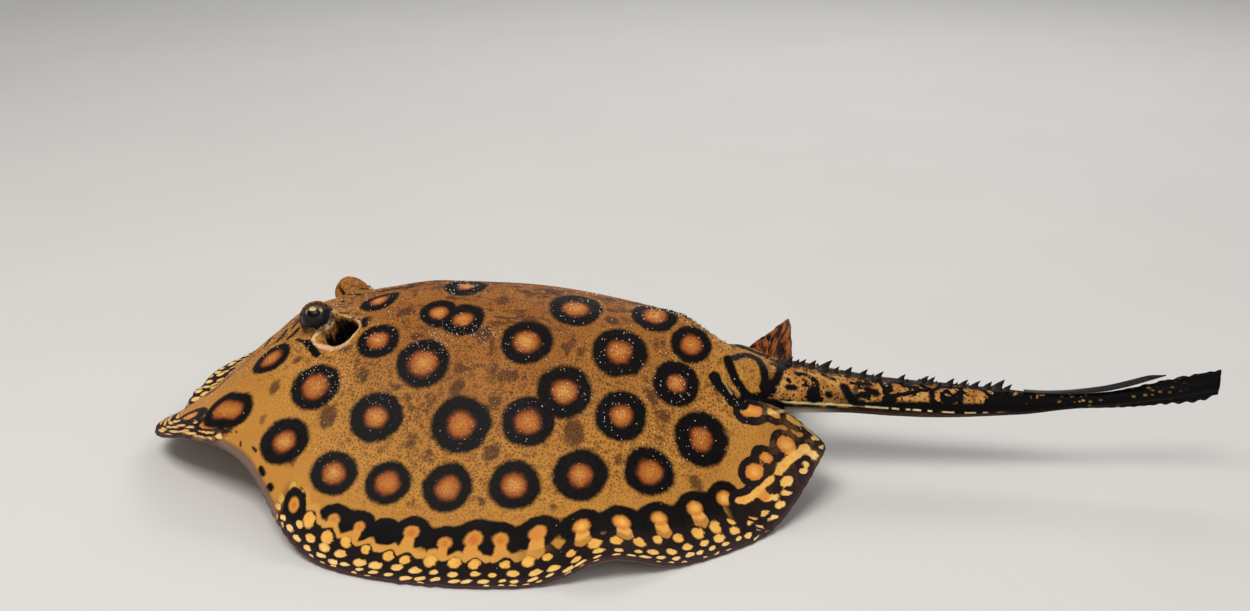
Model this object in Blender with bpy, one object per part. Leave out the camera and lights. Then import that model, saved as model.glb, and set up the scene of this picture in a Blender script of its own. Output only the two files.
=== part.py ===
# Freshwater stingray, life size, resting on the margins of its tented disc.
# Lengths below are millimetres; MM turns them into metres.
# Head toward -X, tail toward +X, the animal's left side toward -Y, +Z up, floor at z = 0.
import bpy
import bmesh
import math
import numpy as np

for _o in list(bpy.data.objects):
    bpy.data.objects.remove(_o, do_unlink=True)

MM = 0.001

# ---------------------------------------------------------------- named sizes
HALF_LENGTH = 125.0      # disc, snout to rear, half
HALF_WIDTH = 109.0       # disc in plan, tented, half
SPINE_SHARE = 0.50       # the crown line reaches this share of the half length
CROWN_Z = 59.5           # top of the back over the floor
HEAD_DROP = 9.5          # the crown falls this much by the eyes
REAR_DROP = 5.0          # and this much by the rear end of the crown line
ROOT_TOP = 36.6          # top of the tail where it leaves the disc
BELLY_Z = 18.6           # underside of the root of the tail
RIM_THICK = 1.2          # margin of the fins
TRUNK_THICK = 37.0       # body depth under the crown
HEAD_THICK = 31.0
REAR_THICK = 30.0
CORE_SHARE = 0.46        # trunk and head end here, the fins begin
HEAD_ANGLE = 52.0        # the head takes the core within this angle of the snout
FIN_SPLIT = 92.0         # front and rear parts of each pectoral fin meet here
SHARP = math.radians(40)           # edges sharper than this stay crisp
GAP = 0.3                # between neighbouring solids

EYE_X, EYE_Y, EYE_Z = -63.2, 17.8, 50.6
EYE_ROLL = 3.0           # the far eye sits this much lower, the head is rolled a little
EYE_R = 6.0
LID_R = 8.6              # raised seat of the eye
LID_H = 4.6
SPIR_X, SPIR_Y = -50.2, 25.9
SPIR_LONG, SPIR_WIDE, SPIR_DEEP = 7.6, 5.2, 7.5

TAIL_ROOT_X = 80.2
TAIL_SPLIT_1 = 150.0
TAIL_SPLIT_2 = 196.0
TAIL_TIP_X = 256.5

MATS = {}


def slot(name, rgb, rough, metal=0.0):
    m = bpy.data.materials.new(name)
    m.use_nodes = True
    b = m.node_tree.nodes["Principled BSDF"]
    b.inputs["Base Color"].default_value = (*rgb, 1.0)
    b.inputs["Roughness"].default_value = rough
    b.inputs["Metallic"].default_value = metal
    MATS[name] = m


slot("skin_back", (0.36, 0.17, 0.055), 0.45)
slot("skin_head", (0.38, 0.19, 0.065), 0.45)
slot("skin_margin", (0.30, 0.15, 0.05), 0.47)
slot("skin_tail", (0.20, 0.11, 0.05), 0.5)
slot("skin_tail_dark", (0.03, 0.025, 0.02), 0.5)
slot("eye_dark", (0.03, 0.04, 0.045), 0.1)
slot("sting_dark", (0.05, 0.035, 0.025), 0.5)


# ---------------------------------------------------------------- small maths
def bump(v, c, w):
    return np.exp(-((v - c) / w) ** 2)


def sstep(v, a, b):
    t = np.clip((v - a) / (b - a), 0, 1)
    return t * t * (3 - 2 * t)


def leftness(a):
    return sstep(a, -12, 12)


# ---------------------------------------------------------------- the disc
def outline(a):
    """Plan outline. a: degrees from the snout, + to the left (-Y)."""
    b = np.abs(a)
    r = 1 / np.sqrt((np.cos(np.radians(a)) / HALF_LENGTH) ** 2
                    + (np.sin(np.radians(a)) / HALF_WIDTH) ** 2)
    L = leftness(a)
    Lr = np.where(a >= 0, 1.0, 0.0)
    r = r + L * (4.0 * bump(b, 17, 9) + 1.2 * bump(b, 15, 4) - 15.5 * bump(b, 45, 17))
    r = r + (1 - L) * (2.0 * bump(b, 14, 10) - 5.0 * bump(b, 46, 20))
    r = r - 1.5 * L * bump(b, 118, 8)
    r = r - Lr * 25.0 * sstep(b, 168.5, 178.0)          # notch at the tail, left lobe long
    r = r - (1 - Lr) * 25.0 * sstep(b, 152.0, 172.0)    # right lobe short, pelvic fin behind it
    return -r * np.cos(np.radians(a)), -r * np.sin(np.radians(a))


def spine_x(a):
    """Where the ray to the margin at angle a leaves the crown line."""
    r = 1 / np.sqrt((np.cos(np.radians(a)) / HALF_LENGTH) ** 2 + (np.sin(np.radians(a)) / HALF_WIDTH) ** 2)
    return -r * np.cos(np.radians(a)) * SPINE_SHARE


def rim_z(a):
    """Height of the upper edge of the margin."""
    b = np.abs(a)
    L = leftness(a)
    Lr = np.where(a >= 0, 1.0, 0.0)
    front = (L * (19.7 * bump(b, 36, 20) + 3.0 * bump(b, 59, 8) + 4.0 * bump(b, 10, 6))
             + (1 - L) * (8.0 * bump(b, 8, 14) + 12.0 * bump(b, 31, 13)) + 3.5 * bump(a, -0.5, 2.6))
    rear = Lr * (17 * sstep(b, 148, 171) + 6 * sstep(b, 168, 179)) + (1 - Lr) * (16 * sstep(b, 150, 172) + 7 * sstep(b, 168, 179))
    return RIM_THICK - 0.4 + front + rear


def rim_wave(a):
    """Ripples that stay near the margin."""
    b = np.abs(a)
    L = leftness(a)
    return L * 7.0 * bump(b, 122, 8) + (1 - L) * (5.0 * bump(b, 104, 8) + 2.0 * bump(b, 132, 7))


def spine_z(x):
    return CROWN_Z - HEAD_DROP * sstep(-x, 20, 66) - REAR_DROP * sstep(x, 5, 66)


def root_top(x):
    """Crest that carries the back down into the tail."""
    return ROOT_TOP + (CROWN_Z - 7.5 - ROOT_TOP) * (1 - sstep(x, 56, 106))


def root_half(x):
    return 11.6 + 12.0 * (1 - sstep(x, 58, 104))


def smax(a, b, k):
    h = np.clip(0.5 + 0.5 * (a - b) / k, 0, 1)
    return b + (a - b) * h + k * h * (1 - h)


def prof(t, a):
    """Share of the rise from margin to crown: 1 at the crown, 0 at the margin."""
    b = np.abs(a)
    L = leftness(a)
    k = L * 0.85 * bump(b, 38, 24) + (1 - L) * 0.45 * bump(b, 38, 24)
    k = np.maximum(k, 0.35 * sstep(b, 152, 175))
    return 0.5 * (1 + np.cos(np.pi * t)) * (1 - k) + (1 - t ** 1.9) * k


def sheet_z(t, a):
    """The arched disc alone."""
    zr = rim_z(a)
    return zr + (spine_z(spine_x(a)) - zr) * prof(t, a) + rim_wave(a) * np.clip(t, 0, 1) ** 4.5


def top_z(t, a, x, y):
    z = sheet_z(t, a)
    crest = root_top(x) - 17.0 * np.abs(y / root_half(x)) ** 2.2
    z = np.where(x > 30, smax(z, crest, 4.0 * sstep(x, 34, 76) + 0.01), z)
    for s in (-1, 1):
        d = np.hypot(x - EYE_X - 1.0, y - s * (EYE_Y - 1.2)) / LID_R
        z = z + (LID_H - (EYE_ROLL if s > 0 else 0.0)) * np.exp(-d ** 4)
    return z


def thick(t, a):
    sx = spine_x(a)
    core = (TRUNK_THICK - (TRUNK_THICK - HEAD_THICK) * sstep(-sx, 25, 62)
            - (TRUNK_THICK - REAR_THICK) * sstep(sx, 20, 62))
    return RIM_THICK + (core - RIM_THICK) * (0.5 * (1 + np.cos(np.pi * t ** 0.86))) ** 1.15 + 6.0 * (1 - t) * t


def top_pt(t, a):
    ex, ey = outline(a)
    sx = spine_x(a)
    x = sx + (ex - sx) * t
    y = ey * t
    return np.stack([x, y, top_z(t, a, x, y)], -1)


def bottom_pt(t, a):
    p = top_pt(t, a)
    x, y = p[..., 0], p[..., 1]
    zb = sheet_z(t, a) - thick(t, a)
    keel = BELLY_Z + 11.0 * np.abs(y / (root_half(x) + 1.0)) ** 2.4 + 16.0 * (1 - sstep(x, 12, 66))
    zb = -smax(-zb, -keel, 5.0)
    p[..., 2] = np.maximum(zb, 0.0)
    return p


# ---------------------------------------------------------------- mesh helpers
def make(name, verts, faces, mat):
    me = bpy.data.meshes.new(name)
    me.from_pydata([tuple(float(c) * MM for c in v) for v in verts], [], faces)
    me.validate()
    bm = bmesh.new()
    bm.from_mesh(me)
    bmesh.ops.remove_doubles(bm, verts=bm.verts, dist=2e-6)
    bmesh.ops.dissolve_degenerate(bm, dist=1e-6, edges=bm.edges)
    bmesh.ops.recalc_face_normals(bm, faces=bm.faces)
    if bm.calc_volume(signed=True) < 0:
        bmesh.ops.reverse_faces(bm, faces=bm.faces)
    bm.to_mesh(me)
    bm.free()
    me.shade_smooth()
    me.set_sharp_from_angle(angle=SHARP)
    ob = bpy.data.objects.new(name, me)
    bpy.context.scene.collection.objects.link(ob)
    if mat:
        me.materials.append(MATS[mat])
    return ob


def slab(name, T, A, mat):
    """Closed body between the upper and the lower sheet over a (t, a) patch."""
    nt, na = T.shape
    top = top_pt(T, A).reshape(-1, 3)
    bot = bottom_pt(T, A).reshape(-1, 3)
    n = nt * na
    verts = list(top) + list(bot)
    f = []
    idx = lambda i, j: i * na + j
    for i in range(nt - 1):
        for j in range(na - 1):
            q = (idx(i, j), idx(i + 1, j), idx(i + 1, j + 1), idx(i, j + 1))
            f.append(q)
            f.append(tuple(n + v for v in reversed(q)))
    ring = ([idx(0, j) for j in range(na)] + [idx(i, na - 1) for i in range(1, nt)]
            + [idx(nt - 1, j) for j in range(na - 2, -1, -1)] + [idx(i, 0) for i in range(nt - 2, 0, -1)])
    for k in range(len(ring)):
        p, q = ring[k], ring[(k + 1) % len(ring)]
        f.append((p, q, n + q, n + p))
    return make(name, verts, f, mat)


def boolean(ob, cutter, op="DIFFERENCE", solver="EXACT"):
    m = ob.modifiers.new("b", "BOOLEAN")
    m.operation = op
    m.solver = solver
    m.object = cutter
    dg = bpy.context.evaluated_depsgraph_get()
    me = bpy.data.meshes.new_from_object(ob.evaluated_get(dg))
    old = ob.data
    ob.modifiers.clear()
    mats = [mm for mm in old.materials]
    ob.data = me
    me.materials.clear()
    for mm in mats[:1]:
        me.materials.append(mm)
    for p in me.polygons:
        p.material_index = 0
    bm = bmesh.new()
    bm.from_mesh(me)
    bmesh.ops.remove_doubles(bm, verts=bm.verts, dist=2e-6)
    bmesh.ops.dissolve_degenerate(bm, dist=1e-6, edges=bm.edges)
    bm.to_mesh(me)
    bm.free()
    me.shade_smooth()
    me.set_sharp_from_angle(angle=SHARP)
    bpy.data.objects.remove(cutter, do_unlink=True)


def shell_of(rings, name, mat, close_ends=True):
    """Closed body through a list of rings of points."""
    m = len(rings[0])
    verts = [p for r in rings for p in r]
    f = []
    for i in range(len(rings) - 1):
        for j in range(m):
            k = (j + 1) % m
            f.append((i * m + j, i * m + k, (i + 1) * m + k, (i + 1) * m + j))
    f.append(tuple(range(m - 1, -1, -1)))
    f.append(tuple((len(rings) - 1) * m + j for j in range(m)))
    return make(name, verts, f, mat)


def ball(name, c, r, mat, seg=16, rings=9, squash=(1, 1, 1), turn=0.0, tip=0.0):
    me_v, me_f = [], []
    for i in range(rings + 1):
        th = math.pi * i / rings
        for j in range(seg):
            ph = 2 * math.pi * j / seg
            v = np.array([squash[0] * r * math.sin(th) * math.cos(ph),
                          squash[1] * r * math.sin(th) * math.sin(ph),
                          squash[2] * r * math.cos(th)])
            ct, st = math.cos(tip), math.sin(tip)
            v = np.array([v[0], ct * v[1] - st * v[2], st * v[1] + ct * v[2]])
            cz, sz = math.cos(turn), math.sin(turn)
            v = np.array([cz * v[0] - sz * v[1], sz * v[0] + cz * v[1], v[2]])
            me_v.append(v + np.array(c))
    for i in range(rings):
        for j in range(seg):
            k = (j + 1) % seg
            me_f.append((i * seg + j, (i + 1) * seg + j, (i + 1) * seg + k, i * seg + k))
    return make(name, me_v, me_f, mat)


# ---------------------------------------------------------------- the tail
def tail_sag(x):
    """How far the belly side of the tail hangs below its even taper."""
    return 0.65 * sstep(x, 124, 146) - 0.40 * sstep(x, 188, 206)


def tail_lift(x):
    """Rise of the back behind the disc."""
    return 0.6 * bump(x, 108, 13)


def tail_mid(x):
    """Centre line: y to the far side, z level and then rising."""
    u = (x - TAIL_ROOT_X) / (TAIL_TIP_X - TAIL_ROOT_X)
    y = 15.0 * np.clip(u, 0, 1) ** 1.45
    z = 27.9 - 1.8 * sstep(x, 100, 170) + 8.9 * np.clip((x - 190) / 66, 0, 1) ** 1.8
    z = z + 4.6 * (1 - sstep(x, 76, 106)) - tail_sag(x) + tail_lift(x)
    return y, z


def tail_size(x):
    """Half width and half height of the flesh."""
    w = 11.9 - 4.9 * sstep(x, 95, 165) - 4.9 * sstep(x, 150, 222) + 6.5 * (1 - sstep(x, 74, 106))
    h = 8.4 - 2.7 * sstep(x, 98, 150) - 3.3 * sstep(x, 150, 215) + 6.6 * (1 - sstep(x, 74, 106)) + tail_sag(x) + tail_lift(x)
    return w, h


def fold_size(x):
    """Height of the thin upper and lower fin folds past the flesh."""
    up = 2.6 * sstep(x, 214, 246)
    lo = (1.9 * sstep(x, 200, 240) + 1.1 * sstep(x, 236, 250)) * (1 - 0.45 * sstep(x, 252, 256.5))
    return up, lo


def tail_ring(x, n=16, grow=0.0):
    y0, z0 = tail_mid(x)
    w, h = tail_size(x)
    up, lo = fold_size(x)
    pts = []
    for j in range(n):
        a = 2 * math.pi * j / n
        c, s = math.cos(a), math.sin(a)
        yy = (w + grow) * math.copysign(abs(c) ** 0.9, c)
        zz = (h + grow) * math.copysign(abs(s) ** 0.95, s)
        if s > 0.9:
            zz += up
            if up > 0.2:
                yy = 0.35 * math.copysign(1, c) if abs(c) > 1e-6 else 0.0
        if s < -0.9:
            zz -= lo
            if lo > 0.2:
                yy = 0.35 * math.copysign(1, c) if abs(c) > 1e-6 else 0.0
        pts.append((x, y0 + yy, z0 + zz))
    return pts


def tail_top(x):
    y0, z0 = tail_mid(x)
    w, h = tail_size(x)
    return y0, z0 + h


THORNS = [(106.4, 3.3), (109.0, 2.6), (111.0, 2.9), (114.6, 3.4), (119.0, 4.6), (123.0, 2.7), (127.4, 3.7), (132.7, 3.5),
          (138.2, 3.3), (146.3, 3.3), (154.0, 3.4), (156.6, 3.2), (163.6, 3.2), (168.2, 3.2), (172.2, 3.3),
          (176.8, 3.4), (180.4, 4.6), (183.6, 3.0)]


def thorn(x, h):
    y0, z0 = tail_top(x)
    rings = []
    n = 5
    for i, (u, r) in enumerate(((-0.35, 1.0), (0.35, 0.72), (0.75, 0.36), (1.0, 0.07))):
        cx = x + 0.55 * h * max(u, 0) ** 1.6
        rr = 0.42 * h * r
        rings.append([(cx + 1.5 * rr * math.cos(2 * math.pi * j / n), y0 + rr * math.sin(2 * math.pi * j / n),
                       z0 - 0.35 + h * u) for j in range(n)])
    return rings


def tail_part(name, x0, x1, mat, step, n=16):
    k = max(2, int(round((x1 - x0) / step)))
    xs = [x0 + (x1 - x0) * i / k for i in range(k + 1)]
    ob = shell_of([tail_ring(x, n) for x in xs], name, mat)
    return ob


tail_base = tail_part("tail_base", TAIL_ROOT_X, TAIL_SPLIT_1 - GAP / 2, "skin_tail", 7.0)
tail_middle = tail_part("tail_middle", TAIL_SPLIT_1 + GAP / 2, TAIL_SPLIT_2 - GAP / 2, "skin_tail", 7.0)
tail_end = tail_part("tail_end", TAIL_SPLIT_2 + GAP / 2, TAIL_TIP_X, "skin_tail_dark", 6.0)
for (tx, th) in THORNS:
    host = tail_base if tx < TAIL_SPLIT_1 else tail_middle
    c = shell_of(thorn(tx, th), "c", None)
    boolean(host, c, "UNION")

# ---------------------------------------------------------------- the sting, a flat blade over the tail
STING_X0, STING_X1 = 189.5, 238.0


def sting_half(u):
    """Half thickness of the blade along its length."""
    return 0.24 + 0.94 * sstep(u, 0.05, 0.72) - 0.92 * sstep(u, 0.86, 1.02)


def sting_wide(u):
    return 1.25 + 1.05 * sstep(u, 0.0, 0.6) - 1.9 * max((u - 0.78) / 0.22, 0.0) ** 1.8


srings = []
for i in range(15):
    u = i / 14
    x = STING_X0 + (STING_X1 - STING_X0) * u
    yb, zt = tail_top(x)
    h, w = sting_half(u), sting_wide(u)
    z = zt + fold_size(x)[0] + GAP + h + 0.08 + 1.1 * np.clip((x - 218) / 20, 0, 1) ** 1.3
    srings.append([(x, yb - w, z), (x, yb - 0.45 * w, z - h), (x, yb + 0.45 * w, z - h),
                   (x, yb + w, z), (x, yb + 0.45 * w, z + h), (x, yb - 0.45 * w, z + h)])
shell_of(srings, "sting", "sting_dark")


# ---------------------------------------------------------------- disc bodies
def angles(a0, a1, step):
    k = max(1, int(round(abs(a1 - a0) / step)))
    return np.linspace(a0, a1, k + 1)


def shares(t0, t1, k):
    return np.linspace(t0, t1, k + 1)


def share_gap(a):
    """A plan distance of GAP/2 as a share of the ray from crown line to margin."""
    ex, ey = outline(a)
    return (GAP / 2) / np.hypot(ex - spine_x(a), ey)


def angle_gap(t, a):
    """A plan distance of GAP/2 as an angle, at share t."""
    ex, ey = outline(a)
    r = np.maximum(np.hypot(spine_x(a) * (1 - t) + ex * t, ey * t), 20.0)
    return np.degrees(GAP / 2 / r)


def core_share(a):
    """The core reaches a little farther back along the tail."""
    return CORE_SHARE + 0.075 * bump(np.abs(a), 180.0, 12.0)


def fin(name, a0, a1, k=8, step=4.0):
    """A length of pectoral fin, from the core out to the margin, between two angles."""
    a = angles(a0, a1, step)
    s = shares(0, 1, k)
    S, A = np.meshgrid(s, a, indexing="ij")
    lo = core_share(A) + share_gap(A)
    T = lo + (1 - lo) * (1 - (1 - S) ** 1.12)
    ends = angle_gap(T, A) * 1.5
    A2 = A.copy()
    A2[:, 0] = A[:, 0] + np.sign(a1 - a0) * ends[:, 0]
    A2[:, -1] = A[:, -1] - np.sign(a1 - a0) * ends[:, -1]
    return slab(name, T, A2, "skin_margin")


fl1 = fin("pectoral_fin_left_front", 0.0, FIN_SPLIT)
fl2 = fin("pectoral_fin_left_rear", FIN_SPLIT, 180.0)
fr1 = fin("pectoral_fin_right_front", 0.0, -FIN_SPLIT)
fr2 = fin("pectoral_fin_right_rear", -FIN_SPLIT, -180.0)


def core(name, head, mat, k=6, step=4.0, dense=None):
    """Head or trunk: the middle of the disc, one closed body, left and right halves joined on the crown line."""
    amax = HEAD_ANGLE
    if head:
        a = angles(-amax, amax, step)
    else:
        a = np.concatenate([angles(amax, 180.0, step), angles(-180.0, -amax, step)[1:]])
    s = shares(0, 1, k)
    S, A = np.meshgrid(s, a, indexing="ij")
    hi = core_share(A) - share_gap(A)
    T = hi * S
    A2 = A.copy()
    sg = 1.0 if head else -1.0
    g = angle_gap(T, A) * 1.5
    A2[:, 0] = A[:, 0] + sg * g[:, 0] if head else A[:, 0] + g[:, 0]
    A2[:, -1] = A[:, -1] - g[:, -1]
    if not head:
        A2[:, -1] = A[:, -1] - g[:, -1]
    top = top_pt(T, A2)
    bot = bottom_pt(T, A2)
    nt, na = T.shape
    n = nt * na
    verts = list(top.reshape(-1, 3)) + list(bot.reshape(-1, 3))
    idx = lambda i, j: i * na + j
    f = []
    for i in range(nt - 1):
        for j in range(na - 1):
            q = (idx(i, j), idx(i + 1, j), idx(i + 1, j + 1), idx(i, j + 1))
            f.append(q)
            f.append(tuple(n + v for v in reversed(q)))
    # outer wall and the wall across the neck
    for j in range(na - 1):
        p, q = idx(nt - 1, j), idx(nt - 1, j + 1)
        f.append((p, q, n + q, n + p))
    for i in range(nt - 1):
        for j in (0, na - 1):
            p, q = idx(i, j), idx(i + 1, j)
            f.append((p, q, n + q, n + p))
    return make(name, verts, f, mat)


head = core("head", True, "skin_head", k=8, step=3.6)
trunk = core("trunk", False, "skin_back", k=6, step=4.0)

# sockets and eyes, spiracles
for s, side in ((-1, "left"), (1, "right")):
    ez = EYE_Z - (EYE_ROLL if s > 0 else 0.0)
    boolean(head, ball("c", (EYE_X, s * EYE_Y, ez), EYE_R + GAP, None))
    boolean(head, ball("c", (SPIR_X, s * SPIR_Y, 48.6), 1.0, None, 18, 10,
                       (SPIR_LONG, SPIR_WIDE, SPIR_DEEP), s * -0.32, s * -0.35))
    ball("eye_" + side, (EYE_X, s * EYE_Y, ez), EYE_R, "eye_dark", 14, 8)

# the rear of the disc gives way to the root of the tail
def root_cut(x):
    y0, z0 = tail_mid(x)
    w, h = tail_size(x)
    out = []
    for j, p in enumerate(tail_ring(x, 16, GAP)):
        c = min(1.0, max(-1.0, math.cos(2 * math.pi * j / 16) / math.cos(2 * math.pi / 16)))
        if 0 < j < 8:
            out.append((x, y0 + c * (w + GAP), 70.0 + 0.02 * j))
        elif j in (0, 8):
            out.append(p)
        else:
            out.append((x, p[1], p[2] - 0.35 * (z0 - p[2])))
    return out


BASE_RINGS = [TAIL_ROOT_X + (TAIL_SPLIT_1 - GAP / 2 - TAIL_ROOT_X) * i / 10 for i in range(9)]
for ob, early in ((trunk, 0.0), (fl2, 1.6), (fr2, 1.6)):
    start = [TAIL_ROOT_X - GAP - early] + ([TAIL_ROOT_X - GAP] if early else [])
    boolean(ob, shell_of([root_cut(x) for x in start + BASE_RINGS], "c", None))


# ---------------------------------------------------------------- pelvic fins, thin leaves
def leaf(name, base, edge, t0, t1, mat, nu=9, nv=6, sag=0.0):
    """base and edge: corner curves of the leaf, each a list of points blended evenly."""
    base, edge = np.array(base, float), np.array(edge, float)

    def along(c, u):
        k = np.linspace(0, 1, len(c))
        return np.array([np.interp(u, k, c[:, i]) for i in range(3)])

    us, vs = np.linspace(0, 1, nu + 1), np.linspace(0, 1, nv + 1)
    mid = np.zeros((nu + 1, nv + 1, 3))
    for i, u in enumerate(us):
        for j, v in enumerate(vs):
            mid[i, j] = along(base, u) * (1 - v) + along(edge, u) * v
            mid[i, j, 2] += sag * 4 * v * (1 - v)
    nor = np.cross(np.gradient(mid, axis=0), np.gradient(mid, axis=1))
    nor /= np.linalg.norm(nor, axis=-1, keepdims=True)
    th = (t0 + (t1 - t0) * vs ** 0.8)[None, :, None]
    up, dn = mid + nor * th / 2, mid - nor * th / 2
    n = (nu + 1) * (nv + 1)
    verts = list(up.reshape(-1, 3)) + list(dn.reshape(-1, 3))
    idx = lambda i, j: i * (nv + 1) + j
    f = []
    for i in range(nu):
        for j in range(nv):
            q = (idx(i, j), idx(i + 1, j), idx(i + 1, j + 1), idx(i, j + 1))
            f.append(q)
            f.append(tuple(n + v for v in reversed(q)))
    ring = ([idx(0, j) for j in range(nv + 1)] + [idx(i, nv) for i in range(1, nu + 1)]
            + [idx(nu, j) for j in range(nv - 1, -1, -1)] + [idx(i, 0) for i in range(nu - 1, 0, -1)])
    for k in range(len(ring)):
        p, q = ring[k], ring[(k + 1) % len(ring)]
        f.append((p, q, n + q, n + p))
    return make(name, verts, f, mat)


PELVIC_RIGHT_BASE = [(95.5, 30.0, 22.5), (97.8, 22.0, 24.0), (103.5, 14.2, 25.5)]
PELVIC_RIGHT_EDGE = [(87.5, 29.8, 29.4), (91.0, 31.8, 32.3), (95.0, 34.0, 34.8), (99.5, 36.2, 37.8), (103.4, 38.0, 40.8),
                     (104.8, 36.0, 37.5), (105.6, 32.0, 32.4), (106.4, 24.0, 28.4), (107.2, 14.2, 26.4)]
leaf("pelvic_fin_right", PELVIC_RIGHT_BASE, PELVIC_RIGHT_EDGE, 2.4, 0.7, "skin_back")

PELVIC_LEFT_BASE = [(90.0, -14.8, 15.2), (97.0, -14.2, 16.0), (103.5, -13.0, 17.5)]
PELVIC_LEFT_EDGE = [(91.0, -24.0, 9.5), (95.0, -34.0, 6.2), (102.0, -38.0, 5.4), (108.5, -33.0, 8.0), (112.0, -24.0, 11.8),
                    (114.0, -14.5, 16.2), (112.8, -8.5, 18.6), (108.0, -9.5, 17.4)]
leaf("pelvic_fin_left", PELVIC_LEFT_BASE, PELVIC_LEFT_EDGE, 2.4, 0.7, "skin_back")

# ---------------------------------------------------------------- origin: middle of the footprint, on the floor
solids = [o for o in bpy.data.objects if o.type == "MESH"]
low = np.array([min(v.co[i] for o in solids for v in o.data.vertices) for i in range(3)])
high = np.array([max(v.co[i] for o in solids for v in o.data.vertices) for i in range(3)])
shift = np.array([(low[0] + high[0]) / 2, (low[1] + high[1]) / 2, 0.0])
for o in solids:
    for v in o.data.vertices:
        v.co = [float(v.co[i] - shift[i]) for i in range(3)]
        if abs(v.co[2]) < 2e-6:
            v.co[2] = 0.0
    o.data.update()
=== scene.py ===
"""Looks for the freshwater stingray: one skin over all the flesh, detailed eyes, tail thorns and the sting.

Lengths are millimetres in the disc's own frame until world() turns them into metres.
Head toward -X, tail toward +X, the animal's left side toward -Y, +Z up.
"""

import math

import bmesh
import bpy
import numpy as np
from mathutils import Matrix, Vector
from mathutils.kdtree import KDTree

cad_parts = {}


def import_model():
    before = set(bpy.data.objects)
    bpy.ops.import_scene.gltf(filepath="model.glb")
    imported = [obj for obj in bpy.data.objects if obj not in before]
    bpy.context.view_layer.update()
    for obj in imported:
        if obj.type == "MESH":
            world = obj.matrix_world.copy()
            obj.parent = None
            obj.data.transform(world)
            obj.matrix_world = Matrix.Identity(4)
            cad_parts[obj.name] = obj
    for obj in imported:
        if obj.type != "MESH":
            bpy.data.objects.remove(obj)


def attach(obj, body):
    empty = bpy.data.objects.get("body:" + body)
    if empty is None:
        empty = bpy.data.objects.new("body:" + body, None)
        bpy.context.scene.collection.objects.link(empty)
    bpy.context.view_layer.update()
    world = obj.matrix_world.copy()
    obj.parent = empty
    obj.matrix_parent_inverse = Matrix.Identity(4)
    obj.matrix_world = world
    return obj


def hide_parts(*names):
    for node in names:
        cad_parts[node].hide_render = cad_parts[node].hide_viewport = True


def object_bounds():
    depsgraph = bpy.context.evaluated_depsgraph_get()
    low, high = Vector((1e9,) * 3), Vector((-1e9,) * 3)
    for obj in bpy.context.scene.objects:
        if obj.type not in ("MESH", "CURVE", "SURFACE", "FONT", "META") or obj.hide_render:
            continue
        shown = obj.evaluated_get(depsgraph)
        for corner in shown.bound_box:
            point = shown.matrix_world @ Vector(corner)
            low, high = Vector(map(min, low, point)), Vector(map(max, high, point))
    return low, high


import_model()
BOX_LO, BOX_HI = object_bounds()

# ---------------------------------------------------------------- sizes, the same as the solids have
HALF_LENGTH = 125.0
HALF_WIDTH = 109.0
SPINE_SHARE = 0.50
CROWN_Z = 59.5
HEAD_DROP = 9.5
REAR_DROP = 5.0
ROOT_TOP = 36.6
BELLY_Z = 18.6
RIM_THICK = 1.2
TRUNK_THICK = 37.0
HEAD_THICK = 31.0
REAR_THICK = 30.0
EYE_X, EYE_Y, EYE_Z = -63.2, 17.8, 50.6
EYE_ROLL = 3.0
EYE_R = 6.0
LID_R = 8.6
LID_H = 4.6
TAIL_ROOT_X = 80.2
TAIL_TIP_X = 256.5
SNOUT_X = -125.215          # lowest x of the disc frame, which the solids' box starts at
SHIFT = np.array([SNOUT_X - BOX_LO.x * 1000.0, -0.01, 0.0])


def world(p):
    """Disc frame in millimetres to the row frame in metres."""
    return (np.asarray(p, float) - SHIFT) * 0.001


# ---------------------------------------------------------------- small maths
def bump(v, c, w):
    return np.exp(-((v - c) / w) ** 2)


def sstep(v, a, b):
    t = np.clip((v - a) / (b - a), 0, 1)
    return t * t * (3 - 2 * t)


def leftness(a):
    return sstep(a, -12, 12)


def smax(a, b, k):
    h = np.clip(0.5 + 0.5 * (a - b) / k, 0, 1)
    return b + (a - b) * h + k * h * (1 - h)


def ripple(v, period, seed, parts=5):
    """Smooth irregular wave between about -1 and 1."""
    g = np.random.default_rng(seed)
    out = np.zeros_like(np.asarray(v, float))
    for k in range(parts):
        out += np.sin(2 * np.pi * v / (period * g.uniform(0.6, 1.7)) + g.uniform(0, 6.28)) * g.uniform(0.5, 1.0)
    return out / (0.55 * parts)


# ---------------------------------------------------------------- the disc
def outline(a):
    b = np.abs(a)
    r = 1 / np.sqrt((np.cos(np.radians(a)) / HALF_LENGTH) ** 2
                    + (np.sin(np.radians(a)) / HALF_WIDTH) ** 2)
    L = leftness(a)
    Lr = np.where(a >= 0, 1.0, 0.0)
    r = r + L * (4.0 * bump(b, 17, 9) + 1.2 * bump(b, 15, 4) - 15.5 * bump(b, 45, 17))
    r = r + (1 - L) * (2.0 * bump(b, 14, 10) - 5.0 * bump(b, 46, 20))
    r = r - 1.5 * L * bump(b, 118, 8)
    r = r - Lr * 25.0 * sstep(b, 168.5, 178.0)
    r = r - (1 - Lr) * 25.0 * sstep(b, 152.0, 172.0)
    return -r * np.cos(np.radians(a)), -r * np.sin(np.radians(a))


def spine_x(a):
    r = 1 / np.sqrt((np.cos(np.radians(a)) / HALF_LENGTH) ** 2 + (np.sin(np.radians(a)) / HALF_WIDTH) ** 2)
    return -r * np.cos(np.radians(a)) * SPINE_SHARE


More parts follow.
